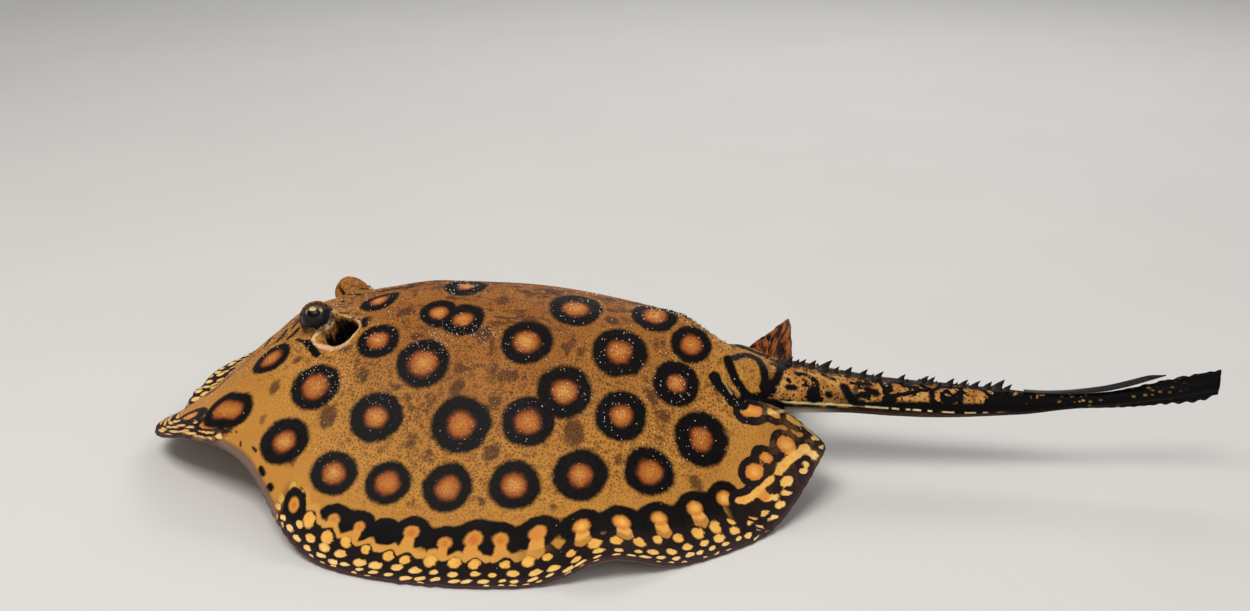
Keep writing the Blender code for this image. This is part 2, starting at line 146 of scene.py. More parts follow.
def rim_z(a):
    b = np.abs(a)
    L = leftness(a)
    Lr = np.where(a >= 0, 1.0, 0.0)
    front = (L * (19.7 * bump(b, 36, 20) + 3.0 * bump(b, 59, 8) + 4.0 * bump(b, 10, 6))
             + (1 - L) * (8.0 * bump(b, 8, 14) + 12.0 * bump(b, 31, 13)) + 3.5 * bump(a, -0.5, 2.6))
    rear = Lr * (17 * sstep(b, 148, 171) + 6 * sstep(b, 168, 179)) + (1 - Lr) * (16 * sstep(b, 150, 172) + 7 * sstep(b, 168, 179))
    return RIM_THICK - 0.4 + front + rear


def rim_wave(a):
    b = np.abs(a)
    L = leftness(a)
    return L * 7.0 * bump(b, 122, 8) + (1 - L) * (5.0 * bump(b, 104, 8) + 2.0 * bump(b, 132, 7))


def spine_z(x):
    return CROWN_Z - HEAD_DROP * sstep(-x, 20, 66) - REAR_DROP * sstep(x, 5, 66)


def root_top(x):
    return ROOT_TOP + (CROWN_Z - 7.5 - ROOT_TOP) * (1 - sstep(x, 56, 106))


def root_half(x):
    return 11.6 + 12.0 * (1 - sstep(x, 58, 104))


def prof(t, a):
    b = np.abs(a)
    L = leftness(a)
    k = L * 0.85 * bump(b, 38, 24) + (1 - L) * 0.45 * bump(b, 38, 24)
    k = np.maximum(k, 0.35 * sstep(b, 152, 175))
    return 0.5 * (1 + np.cos(np.pi * t)) * (1 - k) + (1 - t ** 1.9) * k


def sheet_z(t, a):
    zr = rim_z(a)
    return zr + (spine_z(spine_x(a)) - zr) * prof(t, a) + rim_wave(a) * np.clip(t, 0, 1) ** 4.5


def top_z(t, a, x, y):
    z = sheet_z(t, a)
    crest = root_top(x) - 17.0 * np.abs(y / root_half(x)) ** 2.2
    z = np.where(x > 30, smax(z, crest, 4.0 * sstep(x, 34, 76) + 0.01), z)
    for s in (-1, 1):
        d = np.hypot(x - EYE_X - 1.0, y - s * (EYE_Y - 1.2)) / LID_R
        z = z + (LID_H - (EYE_ROLL if s > 0 else 0.0)) * np.exp(-d ** 4)
    return z


def thick(t, a):
    sx = spine_x(a)
    core = (TRUNK_THICK - (TRUNK_THICK - HEAD_THICK) * sstep(-sx, 25, 62)
            - (TRUNK_THICK - REAR_THICK) * sstep(sx, 20, 62))
    return RIM_THICK + (core - RIM_THICK) * (0.5 * (1 + np.cos(np.pi * t ** 0.86))) ** 1.15 + 6.0 * (1 - t) * t


def top_pt(t, a):
    ex, ey = outline(a)
    sx = spine_x(a)
    x = sx + (ex - sx) * t
    y = ey * t
    return np.stack([x, y, top_z(t, a, x, y)], -1)


def bottom_pt(t, a):
    p = top_pt(t, a)
    x, y = p[..., 0], p[..., 1]
    zb = sheet_z(t, a) - thick(t, a)
    keel = BELLY_Z + 11.0 * np.abs(y / (root_half(x) + 1.0)) ** 2.4 + 16.0 * (1 - sstep(x, 12, 66))
    zb = -smax(-zb, -keel, 5.0)
    p[..., 2] = np.maximum(zb, 0.0)
    return p


def find_ta(x, y):
    """(t, a) of plan points, by halving."""
    x, y = np.asarray(x, float), np.asarray(y, float)
    side = np.where(y <= 0, 1.0, -1.0)
    yy = np.maximum(np.abs(y), 1e-4)
    lo, hi = np.full(x.shape, 1e-3), np.full(x.shape, 179.999)
    for _ in range(44):
        m = 0.5 * (lo + hi)
        ex, ey = outline(side * m)
        sx = spine_x(side * m)
        t = yy / np.maximum(np.abs(ey), 1e-9)
        px = sx + (ex - sx) * t
        low = px < x
        lo, hi = np.where(low, m, lo), np.where(low, hi, m)
    m = 0.5 * (lo + hi)
    ex, ey = outline(side * m)
    return yy / np.abs(ey), side * m


def height(x, y):
    t, a = find_ta(x, y)
    return top_z(t, a, np.asarray(x, float), np.asarray(y, float))


# ---------------------------------------------------------------- the tail
def tail_sag(x):
    return 0.65 * sstep(x, 124, 146) - 0.40 * sstep(x, 188, 206)


def tail_lift(x):
    return 0.6 * bump(x, 108, 13)


def tail_mid(x):
    u = (x - TAIL_ROOT_X) / (TAIL_TIP_X - TAIL_ROOT_X)
    y = 15.0 * np.clip(u, 0, 1) ** 1.45
    z = 27.9 - 1.8 * sstep(x, 100, 170) + 8.9 * np.clip((x - 190) / 66, 0, 1) ** 1.8
    z = z + 4.6 * (1 - sstep(x, 76, 106)) - tail_sag(x) + tail_lift(x)
    return y, z


def tail_size(x):
    w = 11.9 - 4.9 * sstep(x, 95, 165) - 4.9 * sstep(x, 150, 222) + 6.5 * (1 - sstep(x, 74, 106))
    h = 8.4 - 2.7 * sstep(x, 98, 150) - 3.3 * sstep(x, 150, 215) + 6.6 * (1 - sstep(x, 74, 106)) + tail_sag(x) + tail_lift(x)
    return w, h


def fold_size(x):
    up = 2.6 * sstep(x, 214, 246)
    lo = (1.9 * sstep(x, 200, 240) + 1.1 * sstep(x, 236, 250)) * (1 - 0.45 * sstep(x, 252, 256.5))
    return up, lo


def tail_top(x):
    y0, z0 = tail_mid(x)
    w, h = tail_size(x)
    return y0, z0 + h


# ---------------------------------------------------------------- head openings
SIDES = (("left", -1), ("right", 1))
LID_T = 0.35                       # skin over the globe
LID_LINE = 0.24                    # the skin ends where the eye's axis is this near, as a cosine


def soft_least(a, b, k=0.07):
    """The smaller of two fields, rounded where they cross."""
    return -k * np.logaddexp(-a / k, -b / k)


def eye_centre(s):
    return np.array([EYE_X, s * EYE_Y, EYE_Z - (EYE_ROLL if s > 0 else 0.0)])


def eye_frame(s):
    """Outward axis of the eye opening, and its upward direction."""
    n = np.array([0.10, s * 0.97, 0.20])
    n /= np.linalg.norm(n)
    up = np.array([-0.06, -s * 0.35, 0.935])
    up -= n * (up @ n)
    up /= np.linalg.norm(up)
    return n, up


def eye_wrap(P, s):
    """Lifts the skin of the eye's seat over the globe, leaving the globe bare toward the eye's axis."""
    C = eye_centre(s)
    n, up = eye_frame(s)
    side_dir = np.cross(up, n)
    if side_dir[0] < 0:
        side_dir = -side_dir            # toward the tail
    Q1, Q2 = 7.4, 12.0
    dx, dy = P[:, 0] - C[0], P[:, 1] - C[1]
    q = np.hypot(dx, dy)
    sel = q < Q2
    q, phi = q[sel], np.arctan2(dy[sel], dx[sel])
    ring = np.linspace(-np.pi, np.pi, 97)
    hz = height(C[0] + Q1 * np.cos(ring), C[1] + Q1 * np.sin(ring))
    thj = np.interp(phi, ring, np.arccos(np.clip((hz - C[2]) / (EYE_R + LID_T), -0.58, 0.62)))
    u = np.clip(q / Q1, 0, 1)
    th = thj * u
    er = np.stack([np.cos(phi), np.sin(phi), np.zeros_like(phi)], -1)
    ez = np.array([0.0, 0.0, 1.0])
    d = np.sin(th)[:, None] * er + np.cos(th)[:, None] * ez
    e = d @ n
    # a fleshy fold behind and below the globe
    fold = np.clip(d @ side_dir * 0.9 - (d @ up) * 0.15 - 0.15, 0, 1) ** 1.5
    shell = EYE_R + LID_T + 1.5 * fold + 0.35 * sstep(-(d @ up), 0.3, 0.9)
    cut = soft_least(e - LID_LINE, (d @ up + 0.46) * 0.8)
    lid = 0.30 * np.exp(-((cut + 0.02) / 0.09) ** 2)
    bare = sstep(cut, 0.0, 0.085)
    rad = (shell + lid) * (1 - bare) + (EYE_R - 0.9) * bare
    pos = C + d * rad[:, None]
    # below the globe the skin turns back out to the seat
    out = np.clip((q - Q1) / (Q2 - Q1), 0, 1)
    tang = np.cos(thj)[:, None] * er - np.sin(thj)[:, None] * ez
    ext = pos + tang * ((q - Q1) * 0.8 * (q > Q1))[:, None]
    w = sstep(out, 0.0, 1.0)[:, None]
    base = P[sel]
    P = P.copy()
    P[sel] = np.where((q > Q1)[:, None], ext * (1 - w) + base * w, pos)
    return P, sel


SPIR_C = (-51.6, 24.6)
SPIR_R = [(-180, 3.2), (-160, 2.9), (-139, 2.9), (-124, 4.4), (-104, 6.4), (-83, 6.4), (-51, 5.5), (-30, 5.7), (-9, 6.2),
          (10, 6.0), (31, 5.6), (54, 6.5), (70, 7.1), (92, 7.5), (114, 7.1), (141, 6.5), (154, 5.9), (163, 4.4), (172, 3.4), (180, 3.2)]
# the pale fold that comes down behind the eye, and the groove between it and the globe, on the left side
FOLD = [(-54.9, 18.6), (-54.6, 20.6), (-55.2, 22.8), (-56.3, 24.5), (-58.1, 25.6), (-59.8, 26.9), (-61.3, 28.2)]
# SHADE: painted shade, a dark patch on the face between the lower rim and the pit
SHADE = [(-57.6, 26.6), (-55.9, 28.2), (-54.6, 29.6)]
LIP_LOW = [(-61.3, 28.2), (-60.6, 29.8), (-58.4, 31.2), (-54.8, 32.6), (-52.4, 33.5)]
LIP_BACK = [(-52.4, 33.6), (-49.6, 33.3), (-47.4, 31.4), (-46.3, 28.4), (-45.5, 26.0)]
LIP_TOP = [(-54.4, 17.6), (-52.6, 17.0), (-49.6, 18.2), (-46.0, 20.8)]
GROOVE = [(-56.2, 20.6), (-57.0, 23.0), (-58.8, 24.3), (-60.8, 25.2), (-63.2, 25.8)]


def spiracle_share(x, y, s):
    """1 on the edge of the spiracle, 0 in its middle. Angles run from the tail side toward the margin."""
    dx, dy = x - SPIR_C[0], s * y - SPIR_C[1]
    ang = np.degrees(np.arctan2(dy, dx))
    k = np.array(SPIR_R)
    fine = np.linspace(-180, 180, 361)
    r = np.interp(fine, k[:, 0], k[:, 1])
    r = np.convolve(np.concatenate([r[-9:-1], r, r[1:9]]), np.ones(17) / 17, "same")[8:-8]
    return np.hypot(dx, dy) / np.interp(ang, fine, r), ang


def path_dist(x, y, line):
    """Plan distance to a broken line."""
    best = np.full(np.shape(x), 99.0)
    for (x0, y0), (x1, y1) in zip(line[:-1], line[1:]):
        ux, uy = x1 - x0, y1 - y0
        u = np.clip(((x - x0) * ux + (y - y0) * uy) / (ux * ux + uy * uy), 0, 1)
        best = np.minimum(best, np.hypot(x - x0 - u * ux, y - y0 - u * uy))
    return best


def spiracle_fold(P, plan, s):
    f = path_dist(plan[:, 0], s * plan[:, 1], FOLD)
    g = path_dist(plan[:, 0], s * plan[:, 1], GROOVE)
    P = P.copy()
    P[:, 2] += 1.25 * np.exp(-(f / 0.95) ** 2) - 1.0 * np.exp(-(g / 0.8) ** 2)
    P[:, 1] += s * (0.5 * np.exp(-(f / 1.0) ** 2) - 0.5 * np.exp(-(g / 0.8) ** 2))
    return P


# a step down from the inner edge of each rear lobe to the side of the tail
LOBE_EDGE = [(91.0, 21.4), (97.5, 18.9), (102.5, 17.6), (107.5, 16.3), (113.0, 15.0)]


def lobe_step(P):
    x, ya = P[..., 0], np.abs(P[..., 1])
    dist = path_dist(x, ya, LOBE_EDGE)
    line_y = np.interp(x, [p[0] for p in LOBE_EDGE], [p[1] for p in LOBE_EDGE])
    sd = np.where(ya < line_y, dist, -dist)
    run = sstep(x, 91, 97) * (1 - sstep(x, 112, 116))
    return run * (0.9 * np.exp(-((sd + 0.9) / 1.3) ** 2) - 2.3 * sstep(sd, -0.1, 1.5) * (1 - sstep(sd, 5.0, 9.0)))


def spiracle_dent(P, s):
    v, ang = spiracle_share(P[:, 0], P[:, 1], s)
    inner = sstep(v, 1.02, 0.62)
    front = 0.5 * (1 + np.cos(np.radians(ang - 180)))          # the fold by the eye stands higher
    low = sstep(ang, 45, 80) * (1 - sstep(ang, 160, 175))
    rim = np.exp(-((v - 1.10 - 0.05 * low) / (0.10 + 0.06 * low)) ** 2) * (0.55 + 0.5 * low) * (1 - 0.7 * front)
    P = P.copy()
    P[:, 2] += rim - 7.2 * inner
    P[:, 1] -= s * 2.2 * inner                                   # it leads in under the head
    P[:, 0] += 0.8 * inner
    return P


# ---------------------------------------------------------------- grids
def ladder(stops, steps):
    out = [stops[0]]
    for a, b, st in zip(stops[:-1], stops[1:], steps):
        k = max(1, int(round((b - a) / st)))
        out += list(a + (b - a) * (np.arange(1, k + 1) / k))
    return np.array(out)


half = ladder([0, 14, 76, 180], [0.85, 0.52, 0.85])
AN = np.concatenate([-half[::-1], half[1:]])
TN = ladder([0, 0.15, 0.55, 1.0], [0.0125, 0.0072, 0.0125])
TB = ladder([0, 0.35, 1.0], [0.05, 0.02])


def rim_lengths(side):
    b = np.linspace(0, 180, 1801)
    x, y = outline(side * b)
    z = rim_z(side * b)
    s = np.concatenate([[0], np.cumsum(np.sqrt(np.diff(x) ** 2 + np.diff(y) ** 2 + np.diff(z) ** 2))])
    return b, s


RIM_L, RIM_R = rim_lengths(1), rim_lengths(-1)
LEN_L, LEN_R = RIM_L[1][-1], RIM_R[1][-1]


def rim_s(a):
    return np.where(a >= 0, np.interp(np.abs(a), *RIM_L), -np.interp(np.abs(a), *RIM_R) * LEN_L / LEN_R)


def new_mesh(name, verts, faces, attrs=None):
    """Mesh in the disc frame, exact doubles merged."""
    verts = np.asarray(verts, float)
    key = np.round(verts * 2e4).astype(np.int64)
    _, first, inv = np.unique(key, axis=0, return_index=True, return_inverse=True)
    inv = inv.reshape(-1)
    order = np.argsort(first)
    rank = np.empty_like(order)
    rank[order] = np.arange(len(order))
    index = rank[inv]
    keep = first[order]
    out = []
    for f in faces:
        g = [int(index[i]) for i in f]
        h = [g[k] for k in range(len(g)) if g[k] != g[k - 1]]
        if len(set(h)) >= 3:
            out.append(h)
    me = bpy.data.meshes.new(name)
    me.from_pydata(verts[keep].tolist(), [], out)
    me.update()
    for k, v in (attrs or {}).items():
        at = me.attributes.new(k, "FLOAT", "POINT")
        at.data.foreach_set("value", np.asarray(v, np.float32)[keep])
    ob = bpy.data.objects.new(name, me)
    bpy.context.scene.collection.objects.link(ob)
    return ob


def outward(ob):
    bm = bmesh.new()
    bm.from_mesh(ob.data)
    bmesh.ops.recalc_face_normals(bm, faces=bm.faces)
    if bm.calc_volume(signed=True) < 0:
        bmesh.ops.reverse_faces(bm, faces=bm.faces)
    open_edges = sum(1 for e in bm.edges if len(e.link_faces) != 2)
    bm.to_mesh(ob.data)
    bm.free()
    return open_edges


def fold_lines(P, A, T):
    """Soft creases and swellings that the smooth sheet lacks, as a rise in millimetres."""
    x, y, z = P[..., 0], P[..., 1], P[..., 2]
    s = rim_s(A)
    edge = sstep(T, 0.72, 0.97)
    dz = 0.9 * edge * (bump(s, 307, 2.0) - 0.9 * bump(s, 311.5, 2.2) + 0.7 * bump(s, 315.5, 2.0) - 0.6 * bump(s, 303, 1.8))
    dz += 0.22 * sstep(T, 0.80, 1.0) * ripple(s, 11.0, 4)
    # jaw and gill muscles either side of the head
    for sd in (-1, 1):
        dz += 0.9 * np.exp(-((x + 40) / 17) ** 2 - ((sd * y - 38) / 13) ** 2)
        dz -= 0.6 * np.exp(-((x + 36) / 26) ** 2 - ((sd * y - 15) / 5.0) ** 2)
    dz += 0.35 * np.exp(-(y / 3.4) ** 2) * sstep(x, -40, 10) * (1 - sstep(x, 60, 86))
    return dz


def build_disc():
    T, A = np.meshgrid(TN, AN, indexing="ij")
    top = top_pt(T, A)
    seg = np.linalg.norm(np.diff(top, axis=0), axis=-1)
    D = np.zeros_like(T)
    D[:-1] = np.cumsum(seg[::-1], axis=0)[::-1]
    top[..., 2] += fold_lines(top, A, T) + lobe_step(top)
    # ragged edge of the fin, always a little inside
    ex, ey = outline(A[0])
    dirx, diry = ex - spine_x(A[0]), ey
    ln = np.hypot(dirx, diry)
    dirx, diry = dirx / ln, diry / ln
    s = rim_s(A[0])
    cut = 0.28 + 0.28 * ripple(s, 7.0, 11) + 0.12 * ripple(s, 2.6, 12)
    fade = sstep(T, 0.93, 1.0)
    top[..., 0] -= dirx * cut * fade
    top[..., 1] -= diry * cut * fade
    TBg, AB = np.meshgrid(TB, AN, indexing="ij")
    bot = bottom_pt(TBg, AB)
    bot[..., 2] += np.minimum(lobe_step(bot), 0.0) * 0.9
    segb = np.linalg.norm(np.diff(bot, axis=0), axis=-1)
    DB = np.zeros_like(TBg)
    DB[:-1] = np.cumsum(segb[::-1], axis=0)[::-1]
    bot[..., 0] -= dirx * cut * sstep(TBg, 0.93, 1.0)
    bot[..., 1] -= diry * cut * sstep(TBg, 0.93, 1.0)
    bot = sculpt_under(bot, TBg, AB)
    zt, zb = top[-1, :, 2].copy(), bot[-1, :, 2].copy()
    gap = np.maximum(zt - zb, 0.5)
    top[-1, :, 2] = zt - 0.18 * gap
    top[-2, :, 2] -= 0.04 * gap
    mid = np.stack([top[-1, :, 0] + dirx * 0.22, top[-1, :, 1] + diry * 0.22, zb + 0.42 * gap], -1)
    plan = top.copy()
    flat = top.reshape(-1, 3)
    touched = np.zeros(len(flat), bool)
    for _, sd in SIDES:
        flat = spiracle_dent(flat, sd)
        flat, sel = eye_wrap(flat, sd)
        touched |= sel
        flat = spiracle_fold(flat, plan.reshape(-1, 3), sd)
    top = flat.reshape(top.shape)
    nt, na = T.shape
    nb = TBg.shape[0]
    verts = np.concatenate([top.reshape(-1, 3), mid, bot[::-1].reshape(-1, 3)])
    rows = nt + 1 + nb
    plan_xy = np.concatenate([plan.reshape(-1, 3), mid, bot[::-1].reshape(-1, 3)])[:, :2]
    part = np.concatenate([np.full(nt * na, 1.0), np.full(na, 1.0), np.full(nb * na, 2.0)])
    tt = np.concatenate([T.reshape(-1), np.ones(na), TBg[::-1].reshape(-1)])
    aa = np.concatenate([A.reshape(-1), A[0], AB.reshape(-1)])
    dd = np.concatenate([D.reshape(-1), np.zeros(na), DB[::-1].reshape(-1)])
    # the first row of both sheets folds onto the crown line
    verts_first = [(0, 0), (rows - 1, 0)]
    for r, _ in verts_first:
        row = verts[r * na:(r + 1) * na]
        row[:, 1] = 0.0
        row[:na // 2] = row[:na // 2:-1]
        verts[r * na:(r + 1) * na] = row
    for r in range(rows):
        verts[r * na] = verts[r * na + na - 1]
    idx = np.arange(rows * na).reshape(rows, na)
    q = np.stack([idx[:-1, :-1], idx[1:, :-1], idx[1:, 1:], idx[:-1, 1:]], -1).reshape(-1, 4)
    attrs = dict(part=part, px=plan_xy[:, 0], py=plan_xy[:, 1], gt=tt, ga=aa, gd=dd)
    ob = new_mesh("skin", verts, q.tolist(), attrs)
    print("disc open edges", outward(ob), "verts", len(ob.data.vertices))
    return ob


# ---------------------------------------------------------------- features of the underside
MOUTH_X, MOUTH_HALF = -80.0, 11.5
GILLS = [(-55.0, 25.5, 6.6), (-46.0, 26.5, 6.6), (-37.0, 26.0, 6.2), (-28.5, 24.5, 5.6), (-20.5, 22.5, 4.6)]


def sculpt_under(P, T, A):
    x, y, z = P[..., 0], P[..., 1], P[..., 2]
    z = z.copy()
    m = np.hypot((x - MOUTH_X) / 3.4, y / 11.0)
    z += 1.6 * np.exp(-m ** 4) - 0.9 * np.exp(-((m - 1.45) / 0.35) ** 2)
    for gx, gy, gl in GILLS:
        for sd in (-1, 1):
            g = np.hypot((x - gx) / 1.5, (sd * y - gy) / (gl * 0.62))
            z += 0.9 * np.exp(-g ** 4) - 0.5 * np.exp(-(((x - gx - 2.4) / 1.8) ** 2) - ((sd * y - gy) / (gl * 0.7)) ** 2)
    P = P.copy()
    P[..., 2] = np.maximum(z, 0.0)
    return P


# ---------------------------------------------------------------- tail tube
def tail_loop(x):
    """Cross-section at x: lower fold, right side, upper fold, left side."""
    xc = max(x, TAIL_ROOT_X)
    y0, z0 = tail_mid(xc)
    w, h = tail_size(xc)
    up, lo = fold_size(xc)
    up *= 1.0 + 0.16 * float(ripple(np.array(x), 4.0, 21))
    lo *= 1.0 + 0.22 * float(ripple(np.array(x), 3.5, 22))
    shrink = 1.0 - 0.44 * float(sstep(np.array(TAIL_ROOT_X - x), -14.0, 8.0)) - 0.012
    ang = np.radians(np.linspace(-81, 81, 19))
    c, s = np.cos(ang), np.sin(ang)
    ey, ez = w * np.abs(c) ** 0.9, h * np.sign(s) * np.abs(s) ** 0.95
    # a low ridge along the side, where the pale dashes run
    ey = ey + 0.45 * np.exp(-((ang + 0.42) / 0.16) ** 2) * (1 - sstep(xc, 165, 195)) * sstep(xc, 92, 104)
    fu, fl = min(1.0, up / 1.2), min(1.0, lo / 1.2)
    my = w * math.cos(math.radians(86)) ** 0.9
    top_mid = ((1 - fu) * my + fu * 0.34, h * 0.997 + up * 0.55)
    low_mid = ((1 - fl) * my + fl * 0.34, -h * 0.997 - lo * 0.55)
    right = [(low_mid[0], low_mid[1])] + list(zip(ey, ez)) + [(top_mid[0], top_mid[1])]
    loop = [(0.0, -h - lo)] + right + [(0.0, h + up)] + [(-p, q) for p, q in reversed(right)]
    return np.array([(x, y0 + p * shrink, z0 + q * shrink) for p, q in loop])


def build_tail():
    xs = ladder([71.0, 92.0, 200.0, TAIL_TIP_X], [1.6, 1.15, 0.9])
    loops = [tail_loop(float(x)) for x in xs]
    m = len(loops[0])
    # the blunt end rounds off over the last millimetre
    end = loops[-1].copy()
    mid = end.mean(0)
    cap = end.copy()
    cap[:, 0] += 0.25
    cap[:, 1] = mid[1] + (cap[:, 1] - mid[1]) * 0.5
    cap[:, 2] = mid[2] + (cap[:, 2] - mid[2]) * 0.93
    loops.append(cap)
    loops = np.array(loops)
    verts = np.concatenate([loops.reshape(-1, 3), loops[0].mean(0)[None], loops[-1].mean(0)[None]])
    n = len(loops)
    f = []
    for i in range(n - 1):
        for j in range(m):
            k = (j + 1) % m
            f.append((i * m + j, i * m + k, (i + 1) * m + k, (i + 1) * m + j))
    for j in range(m):
        k = (j + 1) % m
        f.append((n * m, k, j))
        f.append((n * m + 1, (n - 1) * m + j, (n - 1) * m + k))
    girth = np.linalg.norm(np.diff(np.concatenate([loops, loops[:, :1]], 1), axis=1), axis=-1)
    around = np.concatenate([np.zeros((n, 1)), np.cumsum(girth, 1)], 1)
    top_at = around[:, m // 2][:, None]
    v = around[:, :m] - top_at                   # from the lower fold round: right side negative, left side positive
    attrs = dict(part=np.full(len(verts), 3.0), px=verts[:, 0], py=np.concatenate([v.reshape(-1), [0, 0]]),
                 gt=np.zeros(len(verts)), ga=np.zeros(len(verts)), gd=np.full(len(verts), 40.0))
    ob = new_mesh("tail", verts, f, attrs)
    print("tail open edges", outward(ob))
    return ob


# ---------------------------------------------------------------- pelvic fins
PELVIC_RIGHT_BASE = [(95.5, 30.0, 22.5), (97.8, 22.0, 24.0), (103.5, 14.2, 25.5)]
PELVIC_RIGHT_EDGE = [(87.5, 29.8, 29.4), (91.0, 31.8, 32.3), (95.0, 34.0, 34.8), (99.5, 36.2, 37.8), (103.4, 38.0, 40.8),
                     (104.8, 36.0, 37.5), (105.6, 32.0, 32.4), (106.4, 24.0, 28.4), (107.2, 14.2, 26.4)]
PELVIC_LEFT_BASE = [(90.0, -14.8, 15.2), (97.0, -14.2, 16.0), (103.5, -13.0, 17.5)]
PELVIC_LEFT_EDGE = [(91.0, -24.0, 9.5), (95.0, -34.0, 6.2), (102.0, -38.0, 5.4), (108.5, -33.0, 8.0), (112.0, -24.0, 11.8),
                    (114.0, -14.5, 16.2), (112.8, -8.5, 18.6), (108.0, -9.5, 17.4)]


def through(c, u):
    """Smooth curve through evenly spaced knots."""
    c = np.array(c, float)
    n = len(c) - 1
    p = np.clip(u, 0, 1) * n
    i = np.minimum(p.astype(int), n - 1)
    f = (p - i)[:, None]
    g = lambda k: c[np.clip(k, 0, n)]
    a, b, d, e = g(i - 1), g(i), g(i + 1), g(i + 2)
    return 0.5 * ((2 * b) + (-a + d) * f + (2 * a - 5 * b + 4 * d - e) * f ** 2 + (-a + 3 * b - 3 * d + e) * f ** 3)


def build_leaf(name, base, edge, sink, part):
    nu, nv = 44, 24
    us = np.linspace(0, 1, nu + 1)
    vs = np.linspace(0, 1, nv + 1)
    B, E = through(base, us), through(edge, us)
    root = B + np.array(sink)
    vv = vs[None, :, None]
    mid = B[:, None] * (1 - vv) + E[:, None] * vv
    k = 4
    inner = np.stack([root + (B - root) * (i / k) for i in range(k)], 1)
    mid = np.concatenate([inner, mid], 1)
    th = np.concatenate([np.full(k, 2.2), 2.2 - 1.55 * vs ** 0.8])
    nor = np.cross(np.gradient(mid, axis=0), np.gradient(mid, axis=1))
    nor /= np.maximum(np.linalg.norm(nor, axis=-1, keepdims=True), 1e-9)
    V = np.concatenate([np.zeros(k), vs])
    wave = 0.32 * np.sin(us[:, None] * 2 * np.pi * 8.5) * sstep(V, 0.15, 0.7)[None]
    mid = mid + nor * wave[..., None]
    pull = (0.5 + 0.5 * ripple(us * 40, 5.0, 30 + part)) * 0.055
    pull[0] = pull[-1] = 0
    mid[:, 1:] -= ((mid[:, 1:] - mid[:, :1]) * (pull[:, None] * sstep(V[1:], 0.7, 1.0)[None])[..., None])
    half_t = (th / 2)[None, :, None] * np.ones((nu + 1, 1, 1))
    taper = np.ones(nu + 1)
    taper[0] = taper[-1] = 0.55
    half_t = half_t * taper[:, None, None]
    half_t[:, -1] *= 0.6
    up, dn = mid + nor * half_t, mid - nor * half_t
    nr = len(V)
    n = (nu + 1) * nr
    verts = np.concatenate([up.reshape(-1, 3), dn.reshape(-1, 3)])
    idx = np.arange(n).reshape(nu + 1, nr)
    q = np.stack([idx[:-1, :-1], idx[1:, :-1], idx[1:, 1:], idx[:-1, 1:]], -1).reshape(-1, 4)
    faces = q.tolist() + (q[:, ::-1] + n).tolist()
    ring = list(idx[0, :]) + list(idx[1:, -1]) + list(idx[-1, -2::-1]) + list(idx[-2:0:-1, 0])
    for a, b in zip(ring, ring[1:] + ring[:1]):
        faces.append([int(a), int(b), int(b) + n, int(a) + n])
    U = np.repeat(us, nr)
    VV = np.tile(V, nu + 1)
    attrs = dict(part=np.full(2 * n, float(part)), px=np.concatenate([U, U]), py=np.concatenate([VV, VV]),
                 gt=np.concatenate([np.zeros(n), np.ones(n)]), ga=np.zeros(2 * n), gd=np.full(2 * n, 40.0))
    ob = new_mesh(name, verts, faces, attrs)
    print(name, "open edges", outward(ob))
    return ob


def union(a, b):
    m = a.modifiers.new("u", "BOOLEAN")
    m.operation, m.object, m.solver = "UNION", b, "MANIFOLD"
    dg = bpy.context.evaluated_depsgraph_get()
    me = bpy.data.meshes.new_from_object(a.evaluated_get(dg), preserve_all_data_layers=True, depsgraph=dg)
    a.modifiers.clear()
    old = a.data
    a.data = me
    bpy.data.meshes.remove(old)
    bpy.data.objects.remove(b, do_unlink=True)


def get(me, name):
    v = np.zeros(len(me.attributes[name].data), np.float32)
    me.attributes[name].data.foreach_get("value", v)
    return v.astype(float)


def put(me, name, v, domain="POINT"):
    at = me.attributes.get(name) or me.attributes.new(name, "FLOAT", domain)
    at.data.foreach_set("value", np.asarray(v, np.float32))


def coords(me):
    c32 = np.zeros(len(me.vertices) * 3, np.float32)
    me.vertices.foreach_get("co", c32)
    return c32.reshape(-1, 3).astype(float)


skin = build_disc()
tail = build_tail()
pel_r = build_leaf("pel_r", PELVIC_RIGHT_BASE, PELVIC_RIGHT_EDGE, (-3.0, -5.0, 1.0), 4)
pel_l = build_leaf("pel_l", PELVIC_LEFT_BASE, PELVIC_LEFT_EDGE, (-3.0, 6.0, 5.0), 5)
union(skin, tail)
union(skin, pel_r)
union(skin, pel_l)
me = skin.data
for mat_slot in range(len(me.materials)):
    me.materials.pop()

# fillet where the parts meet
P = coords(me)
E = np.zeros(len(me.edges) * 2, np.int32)
me.edges.foreach_get("vertices", E)
E = E.reshape(-1, 2)
part = get(me, "part")
fresh = part < 0.5
print("skin verts", len(P), "seam verts", int(fresh.sum()))
deg = np.bincount(E.ravel(), minlength=len(P)).astype(float)


def spread(v):
    """Mean of each vertex's neighbours."""
    if v.ndim == 1:
        s = np.bincount(E[:, 0], v[E[:, 1]], len(P)) + np.bincount(E[:, 1], v[E[:, 0]], len(P))
        return s / deg
    return np.stack([spread(v[:, i]) for i in range(v.shape[1])], 1)


